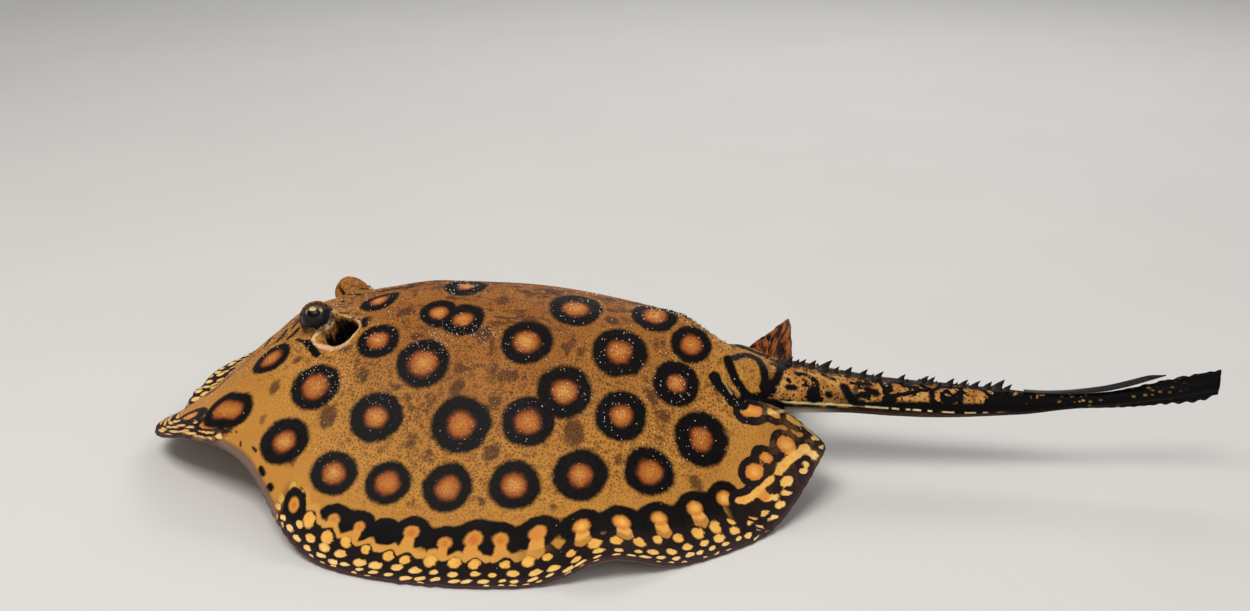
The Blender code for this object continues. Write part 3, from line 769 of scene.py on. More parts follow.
tree = KDTree(int(fresh.sum()) or 1)
for k, p in enumerate(P[fresh]):
    tree.insert(p, k)
tree.balance()
near = np.full(len(P), 99.0)
zone = np.nonzero((P[:, 0] > 60) & (P[:, 0] < 125) & (np.abs(P[:, 1]) < 45))[0]
for i in zone:
    near[i] = tree.find(P[i])[2]
reach = np.where((np.abs(P[:, 1]) > 9) & (P[:, 2] < 30), 1.6, 4.5)
soft = np.clip(1 - near / reach, 0, 1) ** 1.3
for _ in range(14):
    P = P + (soft * 0.55)[:, None] * (spread(P) - P)
me.vertices.foreach_set("co", P.astype(np.float32).ravel())
known = np.where(fresh, 0.0, 1.0)
for name in ("px", "py", "gt", "ga", "gd"):
    v = get(me, name)
    w = known.copy()
    for _ in range(3):
        num = spread(v * w) * deg
        den = spread(w) * deg
        fill = (w < 0.5) & (den > 0.5)
        v = np.where(fill, num / np.maximum(den, 1e-9), v)
        w = np.where(fill, 1.0, w)
    put(me, name, v)
put(me, "fresh", fresh.astype(float))
me.update()
GT, GA, GD = get(me, "gt"), get(me, "ga"), get(me, "gd")

# ---------------------------------------------------------------- markings, as distances over the skin
X, Y, Z = P[:, 0], P[:, 1], P[:, 2]
face_n = np.zeros(len(me.vertices) * 3, np.float32)
me.vertex_normals.foreach_get("vector", face_n)
NRM = face_n.reshape(-1, 3).astype(float)
is_top, is_under = (part < 1.5) & (part > 0.5), np.abs(part - 2) < 0.5
tx_y0, tx_z0 = tail_mid(np.clip(X, TAIL_ROOT_X, TAIL_TIP_X))
tx_w, tx_h = tail_size(np.clip(X, TAIL_ROOT_X, TAIL_TIP_X))

# eye-spots: x, y, radius, share of the radius that the pale centre takes
SPOTS_LEFT = [
    (-76.2, -31.9, 7.7, .55), (-54.3, -46.2, 9.0, .54), (-36.3, -30.4, 7.6, .51),
    (-43.2, -7.2, 7.4, .50), (-12.3, 0.5, 8.0, .41), (-17.9, -37.1, 9.5, .55), (-30, -54.1, 9.3, .44),
    (-59.7, -63.8, 8.8, .46), (-39.6, -72.0, 8.0, .50), (-20.7, -72.7, 8.0, .56), (0, -72.7, 8.6, .52),
    (21.9, -69.2, 8.8, .50), (42.5, -61.8, 9.3, .45), (64.4, -53.5, 8.8, .52), (79.6, -36, 10, .43),
    (0, -54.5, 10.4, .48), (52.8, -41.5, 9.1, .44), (69.3, -25, 8.6, .40), (48.9, -22.8, 9.9, .48),
    (16.6, -26.6, 9.3, .52), (30.4, -8, 9.5, .52), (58.2, -3.5, 8.5, .52), (72.5, -11.7, 7.5, .52),
    (-17.6, -17.5, 7.0, .48), (-7.9, -19.9, 7.8, .46), (22.5, -51, 9.1, .52), (32.7, -39.9, 9.7, .46)]
SPOTS_RIGHT = [
    (-84, 46, 7.6, .55), (-77, 29, 7.2, .55), (-56, 43, 8.8, .55), (-37, 31, 7.6, .50), (-19, 18, 7.4, .48),
    (-20, 38, 9.2, .52), (-33, 55, 9.2, .46), (-62, 61, 8.6, .46), (-43, 71, 8.3, .50), (-22, 74, 8.4, .52),
    (0, 74, 8.5, .50), (22, 71, 8.8, .50), (43, 63.5, 9.0, .46), (62, 54, 8.8, .50), (-1, 54, 10, .48),
    (50, 42, 9.0, .46), (47, 22.5, 9.4, .48), (14, 25, 9.2, .50), (66, 33, 8.6, .44), (73, 12.5, 7.4, .5),
    (-3, 34, 8.0, .48), (5, 42, 7.8, .48), (26, 46, 8.8, .5), (30.5, 31, 8.9, .48)]


def seg_dist(Q, a, b):
    a, b = np.asarray(a, float), np.asarray(b, float)
    ab = b - a
    L = max(float(ab @ ab), 1e-9)
    u = np.clip(((Q - a) @ ab) / L, 0, 1)
    return np.linalg.norm(Q - a - u[:, None] * ab, axis=1)


def on_skin(x, y):
    return np.array([x, y, float(height(np.array([x]), np.array([y]))[0])])


spot = np.full(len(P), 4.0)
inner = np.full(len(P), 0.5)
seq = np.random.default_rng(5)
tone = np.zeros(len(P))
LONG_SPOTS = [(-88.4, -50.0, -82.6, -52.5, 7.6, .50)]      # the first one behind the snout is longer than wide
ovals = [(on_skin(x, y), on_skin(x, y), r, k) for x, y, r, k in SPOTS_LEFT + SPOTS_RIGHT]
ovals += [(on_skin(x0, y0), on_skin(x1, y1), r, k) for x0, y0, x1, y1, r, k in LONG_SPOTS]
for a, b, r, k in ovals:
    squeeze = np.array([1.0, 0.955, 0.955])         # the spots are a little longer down the flanks
    d = seg_dist(P * squeeze, a * squeeze, b * squeeze) / r
    d = np.where(is_under, 4.0, d)
    mine = d < spot
    # where two rings meet their dark rims run together
    inner = np.where(mine, k, inner)
    tone = np.where(mine, seq.uniform(-1, 1), tone)
    spot = np.minimum(spot, d)

# dark bars, streaks and stripes: points on the skin and a half width; the streak along the groove by the eye and the
# two along the lobe step are painted shade
STREAKS = [
    ([(-60.6, -12.0, 54.4), (-60.4, 0.9, 50.6)], 0.75), ([(-61.8, 10.0, 50.7), (-55.3, 5.8, 51.8)], 0.75),
    ([(-60.5, -3.6, 50.8), (-54.6, -4.6, 51.6)], 0.5), ([(-47.5, 5.0, 54.2), (-38.0, 3.0, 56.4)], 0.8),
    ([(-71.6, -17.0, 46.6), (-73.6, -22.8, 43.5)], 1.0), ([(-77.2, -14.5, 43.9), (-78.6, -21.0, 41.7)], 0.85),
    ([(-84.5, -14.0, 40.4), (-85.0, -19.0, 39.4)], 0.85), ([(-90.0, -10.5, 36.9), (-91.0, -16.0, 35.9)], 0.8),
    ([(-74.9, -14.7, 44.7), (-74.1, -11.7, 45.7), (-73.7, -10.0, 46.1)], 0.6),
    ([(-69.6, -24.2, 44.8), (-66.4, -27.0, 44.4), (-63.8, -28.2, 44.2)], 0.9),
    ([(-64.2, -28.4, 45.3), (-61.0, -31.4, 44.3), (-57.5, -34.9, 43.3)], 1.45),
    ([(-44.4, -19.6, 52.2), (-43.7, -23.0, 51.0)], 1.15), ([(-49.8, -18.0, 51.7), (-46.5, -19.4, 51.9)], 0.5),
    ([(-54.6, -16.8, 53.5), (-51.7, -14.7, 52.5)], 0.4), ([(-58.8, -9.8, 53.6), (-55.2, -11.2, 53.4)], 0.5),
    # painted shadow: a black line along the groove between the eye and the pale fold, on both sides
    ([(-56.2, -20.4, 52.2), (-57.0, -23.3, 50.5), (-58.8, -24.6, 49.4), (-60.8, -25.4, 48.6), (-63.2, -26.0, 47.3)], 0.55),
    ([(81.6, -17.9, 38.6), (83.4, -19.2, 36.6), (86.2, -20.6, 33.9), (89.2, -21.7, 31.4), (92.2, -21.9, 30.0)], 2.1),
    ([(85.4, -11.3, 42.5), (87.3, -14.0, 39.5), (89.5, -16.2, 36.6), (92.3, -18.3, 33.4), (94.6, -18.4, 32.2)], 1.75),
    ([(85.4, -11.3, 42.5), (87.0, -6.6, 41.6), (88.6, -3.6, 40.6), (91.5, -2.2, 39.6), (95.5, -2.5, 38.2), (97.3, -5.1, 36.0), (97.9, -8.2, 33.6), (97.9, -10.6, 31.6)], 1.55),
    ([(105.6, -1.5, 37.1), (104.0, -3.7, 36.9), (103.2, -7.2, 35.5), (102.0, -9.7, 33.6), (98.8, -11.4, 32.0)], 1.5),
    # painted shade: these two black streaks follow the step down from the lobe's inner edge to the tail's side
    ([(92.9, -19.8, 31.7), (95.8, -17.8, 31.6), (99.2, -14.1, 31.0), (101.2, -11.6, 31.4)], 1.9),
    ([(93.4, -19.6, 30.4), (96.4, -16.6, 28.6), (99.8, -13.4, 27.2), (104.4, -11.0, 25.6), (110.0, -9.4, 24.4)], 1.7),
    ([(107.5, -9.8, 32.2), (109.3, -9.3, 32.1)], 1.1), ([(121.0, -8.0, 30.2), (122.4, -7.8, 30.0)], 1.2),
    ([(115.6, -8.8, 31.0), (116.2, -9.2, 28.9)], 2.6), ([(109.2, -4.3, 36.2), (112.4, -4.4, 35.8), (116.0, -4.9, 34.8), (116.8, -7.2, 33.0)], 0.75),
    ([(100.5, -2.0, 38.0), (104.5, -0.5, 38.0)], 0.8), ([(118.5, -2.2, 35.6), (123.5, -3.0, 34.4)], 0.8),
    ([(126.4, -5.8, 32.4), (129.0, -6.6, 29.5), (131.0, -6.6, 27.4)], 1.6), ([(134.5, -4.6, 32.0), (138.5, -5.0, 31.0)], 1.3),
    ([(141.0, -5.4, 27.6), (143.5, -5.0, 28.0)], 1.5), ([(131.5, -3.0, 33.8), (136.5, -2.6, 33.8)], 0.8)]
MIRROR = STREAKS[4:14] + STREAKS[15:]
# the far eye's raised lid carries two dark bars; a few marks along the curled front edge
DOME = [([(-62.8, 12.6, 47.0), (-66.2, 14.5, 51.0)], 0.7), ([(-57.6, 13.6, 52.2), (-55.6, 16.2, 51.4), (-53.4, 16.6, 50.2)], 0.8)]
EDGE_MARKS = [([(-96.4, -24.7, 28.2), (-100.0, -28.6, 24.6), (-105.0, -27.0, 20.6)], 1.0), ([(-88.4, -19.6, 35.0), (-92.4, -25.5, 31.2)], 0.45),
              ([(-85.8, -58.8, 23.6), (-83.0, -59.8, 23.6)], 0.4), ([(-80.4, -60.6, 23.8), (-78.2, -61.0, 23.9)], 0.35),
              ([(-75.9, -64.0, 22.2), (-74.6, -65.2, 21.4)], 0.45), ([(-70.6, -65.8, 21.2), (-68.8, -67.4, 20.2)], 0.55),
              ([(-65.6, -72.0, 17.2), (-64.0, -74.0, 16.0)], 1.1), ([(-60.0, -78.0, 14.2), (-59.0, -79.4, 13.4)], 1.2)]
STREAKS = STREAKS + DOME + EDGE_MARKS
upper = np.nonzero(~is_under)[0]
seek = KDTree(len(upper))
for k, i in enumerate(upper):
    seek.insert(P[i], k)
seek.balance()


def on_mesh(pts):
    """The same points moved onto the skin."""
    return [tuple(seek.find(q)[0]) for q in pts]


black = np.full(len(P), 6.0)
for pts, r in STREAKS + [([(x, -y, z - (0.8 if x < 0 else 0.0)) for x, y, z in pts], r) for pts, r in MIRROR]:
    pts = on_mesh(pts)
    for a, b in zip(pts[:-1], pts[1:]):
        black = np.minimum(black, seg_dist(P, a, b) - r)
black = np.where(is_under, 6.0, black)

# pale folds by the spiracle, pale patches on the inner edge of the lobes, and a painted highlight: the thin pale line
# along each side of the tail
PALE_AND_HIGHLIGHT = [([(101.6, -11.3, 30.0), (106.8, -10.7, 29.0), (113.2, -9.9, 27.3), (118.0, -9.2, 26.9), (125.2, -7.9, 26.1), (134.0, -6.8, 25.5), (142.0, -5.4, 25.1)], 0.12),
        ([(84.6, -17.8, 37.6), (88.6, -20.4, 33.9)], 0.35)]
pale_and_highlight = np.full(len(P), 6.0)
for pts, r in PALE_AND_HIGHLIGHT + [([(x, -y, z) for x, y, z in pts], r) for pts, r in PALE_AND_HIGHLIGHT]:
    pts = on_mesh(pts)
    for a, b in zip(pts[:-1], pts[1:]):
        pale_and_highlight = np.minimum(pale_and_highlight, seg_dist(P, a, b) - r)
PX, PY = get(me, "px"), get(me, "py")
pit_shade = np.zeros(len(P))
cream = np.zeros(len(P))
sock = np.zeros(len(P))
ped_and_shade = np.zeros(len(P))
for _, sd in SIDES:
    v, ang = spiracle_share(PX, PY, sd)
    v = np.where(is_top, v, 9.0)
    front = 0.5 * (1 + np.cos(np.radians(ang - 180)))
    # the spiracle's pit and the face beside it are darkened: painted shade
    pit_shade = np.maximum(pit_shade, sstep(v, 1.03, 0.95))
    pit_shade = np.maximum(pit_shade, np.where(is_top, 0.75 * np.exp(-(path_dist(PX, sd * PY, SHADE) / 1.35) ** 2), 0.0))
    low = sstep(ang, 45, 80) * (1 - sstep(ang, 160, 175))
    cream = np.maximum(cream, np.exp(-((v - 1.07 - 0.07 * low) / (0.095 + 0.085 * low)) ** 2) * (0.78 + 0.22 * low) * (1 - front))
    for path, wide in ((FOLD, 0.85), (LIP_LOW, 0.95), (LIP_BACK, 0.45), (LIP_TOP, 0.40)):
        cream = np.maximum(cream, np.where(is_top, np.exp(-(path_dist(PX, sd * PY, path) / wide) ** 2), 0.0))
    C = eye_centre(sd)
    n, up = eye_frame(sd)
    rel = P - C
    dist = np.linalg.norm(rel, axis=1)
    e = (rel @ n) / np.maximum(dist, 1e-6)
    close = (dist < EYE_R + 3.0) & is_top
    cut = soft_least(e - LID_LINE, (rel @ up) / np.maximum(dist, 1e-6) * 0.8 + 0.37)
    low = -(rel @ up) / np.maximum(dist, 1e-6)
    # the skin below the globe: its own brown, darkened as painted shade under the globe
    ped_and_shade = np.maximum(ped_and_shade, np.where(is_top, np.exp(-((dist - 6.3) / 1.8) ** 2) * sstep(low, 0.15, 0.7) * sstep(e, -0.4, 0.1), 0.0))
    # painted shade where the lid tucks against the globe
    sock = np.where(close & (dist < EYE_R + 1.6), np.maximum(sock, sstep(cut, -0.07, 0.0)), sock)

# soft grey-brown smudges
SMUDGES = [(-47.7, -54.7, 4), (-16, -60.5, 5), (12.3, -61.3, 4), (38.2, -50.5, 4.5), (66.5, -36.3, 3.5), (7.3, -38, 5),
           (0.7, -25.5, 4), (-22.7, -28, 3.5), (-69.3, -46.3, 4), (-55, -70.5, 3.5), (-11, -78, 2.6), (12.3, -75.5, 2.8),
           (35.7, -73, 3), (79.8, -49.7, 3.2), (-64.3, -36.3, 3), (17, -18, 4), (4, -8.8, 5), (-30, -17, 4), (-44, -20, 3),
           (-4, -44, 4), (-38, -43, 4.5), (36, -26, 4), (62, -32, 3), (-25, -45, 3), (54, -54, 3), (10, -47, 3.5),
           (-46, -57, 3.5), (-70, -57, 3), (44, -11, 3.5), (-25, 5, 4), (20, 3, 5), (40, 5, 4), (-3, 8, 5), (-35, 3, 3), (-86, -9, 4.5), (-94, 9, 3.5), (-79, 15, 4.5), (-97, -24, 3.5),
           (-69, -3, 4), (-88, 29, 4.5), (-76, -30, 3.5), (-101, 20, 3)]
jit = np.random.default_rng(8)
smud = np.zeros(len(P))
for k, (x, y, r) in enumerate(SMUDGES):
    for sgn in ((1, -1) if y < -9 else (1,)):
        ang = jit.uniform(0, 3.14)
        ratio = jit.uniform(0.6, 1.0)
        dx, dy = X - x, sgn * Y - y
        u = dx * math.cos(ang) + dy * math.sin(ang)
        v = -dx * math.sin(ang) + dy * math.cos(ang)
        smud += np.exp(-(u / r) ** 2 - (v / (r * ratio)) ** 2) * jit.uniform(0.55, 1.0)
smud = np.where(is_top, np.clip(smud, 0, 1.2), 0)

# the row of dark scallops along the fin's margin: place along the rim, distance in from it
# (s, d, half length across, half length inward, lean, open toward the rim)
SCALLOPS_LEFT = [(133, 9.0, 2.4, 2.3, 0.0, 0), (150, 16.6, 1.9, 2.7, 0.5, 1), (160.5, 19.3, 1.9, 1.9, 0.2, 1), (180, 21.8, 2.7, 2.6, 0.1, 1),
                 (193, 19.2, 2.0, 2.2, 0.0, 1), (203, 21.4, 2.7, 3.5, 0.1, 1), (213, 21.2, 2.5, 2.6, -0.2, 1), (226, 23.0, 3.2, 2.7, 0.3, 1),
                 (242, 21.2, 3.2, 2.6, -0.2, 1), (257, 20.6, 3.4, 2.7, -0.3, 1), (272, 21.3, 3.3, 2.3, -0.3, 1), (288, 21.4, 3.6, 2.4, -0.4, 1),
                 (303, 20.4, 3.6, 2.5, -0.4, 1)]
SCALLOPS_RIGHT = [(-q[0] + 3.0 * math.sin(k * 2.1), q[1] + 1.2 * math.sin(k * 1.3), q[2], q[3], -q[4], q[5]) for k, q in enumerate(SCALLOPS_LEFT)]
GS = rim_s(GA)
blend = np.zeros(len(P))
slot_d = np.full(len(P), 40.0)
for k, (s0, d0, ra, rb, lean, is_open) in enumerate(SCALLOPS_LEFT + SCALLOPS_RIGHT):
    u, v = GS - s0, GD - d0
    a_, b_ = u - lean * v, v + 0.5 * lean * u
    e_ = np.hypot(a_ / ra, b_ / rb)
    near = (e_ - 1.0) * np.minimum(ra, rb) * 0.5 + (np.hypot(a_, b_) - 0.5 * (ra + rb)) * 0.5
    blend += np.exp(-0.55 * np.clip(near, -6, 30))
    if is_open:
        down = np.clip(-v, 0, 20)
        gap = np.abs(u + 0.25 * lean * down) - (0.62 * ra + 0.16 * down)
        slot_d = np.minimum(slot_d, np.where(v >= 0, 40.0, gap))
scal = -np.log(np.maximum(blend, 1e-9)) / 0.55
FILL = [(170.5, 20.4, 6.2), (187.0, 18.6, 2.4), (198.0, 19.0, 3.2), (208.5, 19.2, 3.4), (219.0, 20.0, 3.4), (265.0, 17.5, 2.2), (280.0, 17.6, 2.6), (296.0, 17.6, 3.0),
        (312.0, 12.5, 4.0), (320.0, 13.5, 5.0), (329.0, 13.5, 5.0), (338.0, 12.5, 4.2), (334.0, 7.0, 5.5), (344.0, 6.5, 4.0)]
fill = np.full(len(P), 20.0)
for s0, d0, r in FILL:
    fill = np.minimum(fill, np.where(is_top, np.hypot(np.abs(GS) - s0, (GD - d0) * 1.15) - r, 20.0))
put(me, "m_fill", fill)

# yellow shapes on the rear lobe and at the front corner, in the same rim coordinates: ovals, then bands
LOBE_OVALS = [(341, 13.3, 3, -2.85, 4.3, 3.0, 1), (330, 18.1, 2, -2.35, 3.1, 1.7, 1), (322, 19.0, 3, -2.25, 4.6, 2.8, 1),
              (319, 10.9, 1, -0.5, 2.4, 2.0, 1), (345, 2.7, 1.2, -1.7, 2.4, 1.4, 0), (340, 4.0, 1, -1.2, 2.0, 0.95, 0), (337, 3.2, 1, -1.1, 2.0, 1.1, 0),
              (330, 6.7, 2, -1.2, 3.0, 1.6, 0), (326, 4.9, 1, -1.4, 2.2, 1.0, 0), (321, 4.0, 1, -1.2, 1.9, 1.1, 0),
              (314.5, 6.8, 1, -1.0, 1.9, 1.0, 0), (315.5, 2.6, 1, -0.8, 1.6, 0.8, 0), (309.5, 4.2, 1, -0.6, 1.8, 1.0, 0), (351, 0.9, 1, -0.8, 1.6, 0.8, 0),
              (309.0, 9.0, 1.5, -1.1, 1.9, 0.8, 0)]
LOBE_BANDS = [([(346, 6.2), (339, 8.9), (331, 11.2)], 1.65), ([(326.5, 12.0), (321, 13.6), (314, 14.8), (308, 17.0)], 1.25), ([(320, 9.4), (323, 6.3)], 0.8)]
CORNER_OVALS = [(55.5, 10.6, 1, 0.0, 5.4, 1.9, 1), (76.0, 6.2, 1, 0.0, 5.0, 1.7, 1)]
EDGE_YELLOWS = [([(93.8, -22.5, 28.8), (96.8, -21.9, 28.0)], 2.2, 1), ([(101.3, -19.6, 27.9), (104.4, -19.4, 26.2)], 1.2, 0),
                ([(107.7, -18.3, 25.2), (111.0, -18.1, 23.0)], 1.35, 0), ([(114.0, -17.3, 20.9), (116.2, -18.4, 19.7)], 0.9, 0),
                ([(116.9, -22.0, 19.5), (118.4, -20.6, 19.0)], 1.1, 0)]
yel = np.full(len(P), 8.0)
ydeep = np.zeros(len(P))
for sgn in (1, -1):
    for s0, d0, ax, ay, ra, rb, deep_one in LOBE_OVALS + CORNER_OVALS:
        L_ = math.hypot(ax, ay)
        u, v = sgn * GS - s0, GD - d0
        a_, b_ = (u * ax + v * ay) / L_, (-u * ay + v * ax) / L_
        e_ = np.hypot(a_ / ra, b_ / rb)
        dd_ = np.where(e_ < 1, (e_ - 1) * rb, np.minimum((e_ - 1) * rb * 1.15, np.hypot(np.maximum(np.abs(a_) - ra, 0), b_)))
        dd_ = np.where(is_top & (np.abs(GS) > 20) & (sgn * GS > 0), dd_, 8.0)
        ydeep = np.where(dd_ < yel, deep_one, ydeep)
        yel = np.minimum(yel, dd_)
    for pts, r in LOBE_BANDS:
        for (s1, d1), (s2, d2) in zip(pts[:-1], pts[1:]):
            w_ = np.clip(((sgn * GS - s1) * (s2 - s1) + (GD - d1) * (d2 - d1)) / ((s2 - s1) ** 2 + (d2 - d1) ** 2), 0, 1)
            dd_ = np.hypot(sgn * GS - s1 - w_ * (s2 - s1), GD - d1 - w_ * (d2 - d1)) - r
            dd_ = np.where(is_top, dd_, 8.0)
            ydeep = np.where(dd_ < yel, 0.0, ydeep)
            yel = np.minimum(yel, dd_)
    for pts, r, deep_one in EDGE_YELLOWS:
        pts = on_mesh([(x, sgn * y, z) for x, y, z in pts])
        for a, b in zip(pts[:-1], pts[1:]):
            dd_ = np.where(is_top, seg_dist(P, a, b) - r, 8.0)
            ydeep = np.where(dd_ < yel, deep_one, ydeep)
            yel = np.minimum(yel, dd_)
put(me, "m_yel", yel)
put(me, "m_ydeep", ydeep)
scal = np.where(is_top, scal, 40.0)
slot_d = np.where(is_top, slot_d, 40.0)
put(me, "m_slot", slot_d)
flat_disc = is_top | is_under
put(me, "m_spot", spot)
put(me, "m_inner", inner)
put(me, "m_tone", tone)
put(me, "m_black", black)
put(me, "m_pale_and_highlight", pale_and_highlight)
put(me, "m_cream", cream)
put(me, "m_pit_shade", pit_shade)
put(me, "m_socket_shade", sock)
put(me, "m_ped_and_shade", ped_and_shade)
put(me, "m_pelvic_left_shade", (np.abs(part - 5) < 0.5).astype(float))
put(me, "m_smudge", smud)
put(me, "m_scallop", scal)
put(me, "m_s", np.where(flat_disc, GS, 0.0))
put(me, "m_d", np.where(flat_disc, GD, 60.0))
# underside: sheets below, and the lower faces of tail and pelvic fins
low = np.where(is_under, 1.0, np.where(part > 2.5, sstep(-NRM[:, 2], 0.35, 0.75), 0.0))
put(me, "m_under", low)
# tail coordinates
on_tail = np.abs(part - 3) < 0.5
tail_mask = sstep(X, 96, 106) * np.where(part < 2.5, bump(Y, tx_y0, 22), 1.0) * np.where(part > 3.5, 0.0, 1.0)
put(me, "m_tail", tail_mask)
put(me, "m_tx", X)
rise = np.clip((Z - tx_z0) / np.maximum(tx_h, 1), -1.6, 1.6)
put(me, "m_tv", rise)
put(me, "m_girth", np.where(on_tail, PY, Y - tx_y0))
put(me, "m_pelvic", (part > 3.5).astype(float))
put(me, "m_pu", np.where(part > 3.5, PX, 0))
put(me, "m_pv", np.where(part > 3.5, PY, 0))
# features of the underside, as distances
feat = np.full(len(P), 8.0)
arc = [(MOUTH_X + 1.8 * (1 - math.cos(a)) * 1.4, MOUTH_HALF * math.sin(a), 0) for a in np.linspace(-1.35, 1.35, 9)]
flatP = P.copy()
flatP[:, 2] = 0


def flat_dist(a, b, r):
    return seg_dist(flatP, (a[0], a[1], 0), (b[0], b[1], 0)) - r


for a, b in zip(arc[:-1], arc[1:]):
    feat = np.minimum(feat, flat_dist(a, b, 0.75))
for sd in (-1, 1):
    feat = np.minimum(feat, flat_dist((-88.5, sd * 8.2), (-84.0, sd * 11.5), 1.0))
    for gx, gy, gl in GILLS:
        feat = np.minimum(feat, flat_dist((gx + 0.6, sd * (gy - gl * 0.55)), (gx - 0.4, sd * (gy + gl * 0.55)), 0.55))
feat = np.minimum(feat, flat_dist((91.5, 0), (97.5, 0), 1.1))
put(me, "m_feat", np.where(is_under, feat, 8.0))

# ---------------------------------------------------------------- UV map: back, underside, tail, pelvic fins
loops_v = np.zeros(len(me.loops), np.int32)
me.loops.foreach_get("vertex_index", loops_v)
start = np.zeros(len(me.polygons), np.int32)
total = np.zeros(len(me.polygons), np.int32)
me.polygons.foreach_get("loop_start", start)
me.polygons.foreach_get("loop_total", total)
poly_of = np.repeat(np.arange(len(start)), total)
lp = part[loops_v]
count = {k: np.bincount(poly_of, weights=(np.abs(lp - k) < 0.5).astype(float), minlength=len(start)) for k in (1, 2, 3, 4, 5)}
stack = np.stack([count[k] for k in (1, 2, 3, 4, 5)], 1)
poly_part = np.argmax(stack, 1) + 1
FP = poly_part[poly_of]
own = np.abs(lp - FP) < 0.5
LX, LY, LZ = X[loops_v], Y[loops_v], Z[loops_v]
qx = np.where(own, PX[loops_v], LX)
qy = np.where(own, PY[loops_v], LY)
ty0, tz0 = tx_y0[loops_v], tx_z0[loops_v]
gird = np.where(own, PY[loops_v], -np.arctan2(LY - ty0, LZ - tz0) * 10.0)
uv = np.zeros((len(loops_v), 2))
S1, S2, S3 = 0.70 / 252.0, 0.335 / 220.0, 0.98 / 190.0
m1, m2, m3 = FP == 1, FP == 2, FP == 3
uv[m1] = np.stack([0.006 + (qx[m1] + 126.0) * S1, 0.385 + (qy[m1] + 110.0) * S1], 1)
uv[m2] = np.stack([0.006 + (qx[m2] + 126.0) * S2, 0.370 - (qy[m2] + 110.0) * S2 - 0.0], 1)
# a tail ring is cut along its lower edge: keep the faces that close it in one piece
g3 = gird[m3]
fl = poly_of[m3]
big = np.full(len(start), -1e9)
np.maximum.at(big, fl, g3)
girth_at = 2.0 * (tx_w[loops_v[m3]] + tx_h[loops_v[m3]]) * 0.80
wrap = (big[fl] - g3) > girth_at * 0.5
g3 = np.where(wrap, g3 + girth_at, g3)
uv[m3] = np.stack([0.855 + g3 * S3 * 0.78, 0.006 + (LX[m3] - 70.0) * S3], 1)
for k, u0 in ((4, 0.40), (5, 0.55)):
    mk = FP == k
    under = GT[loops_v][mk] > 0.5
    uv[mk] = np.stack([u0 + np.where(own[mk], PY[loops_v][mk], 0.0) * 0.11 + 0.006,
                       0.20 - 0.185 * under + PX[loops_v][mk] * 0.16], 1)
layer = me.uv_layers.new(name="OFBake")
for other in [u.name for u in me.uv_layers if u.name != "OFBake"]:
    me.uv_layers.remove(me.uv_layers[other])
layer = me.uv_layers["OFBake"]
layer.uv.foreach_set("vector", np.clip(uv, 0.0, 1.0).astype(np.float32).ravel())
me.uv_layers.active = layer
layer.active_render = True


# ---------------------------------------------------------------- node tree helpers
def lin(r, g, b):
    f = lambda c: c / 12.92 if c <= 0.04045 else ((c + 0.055) / 1.055) ** 2.4
    return (f(r / 255.0), f(g / 255.0), f(b / 255.0), 1.0)


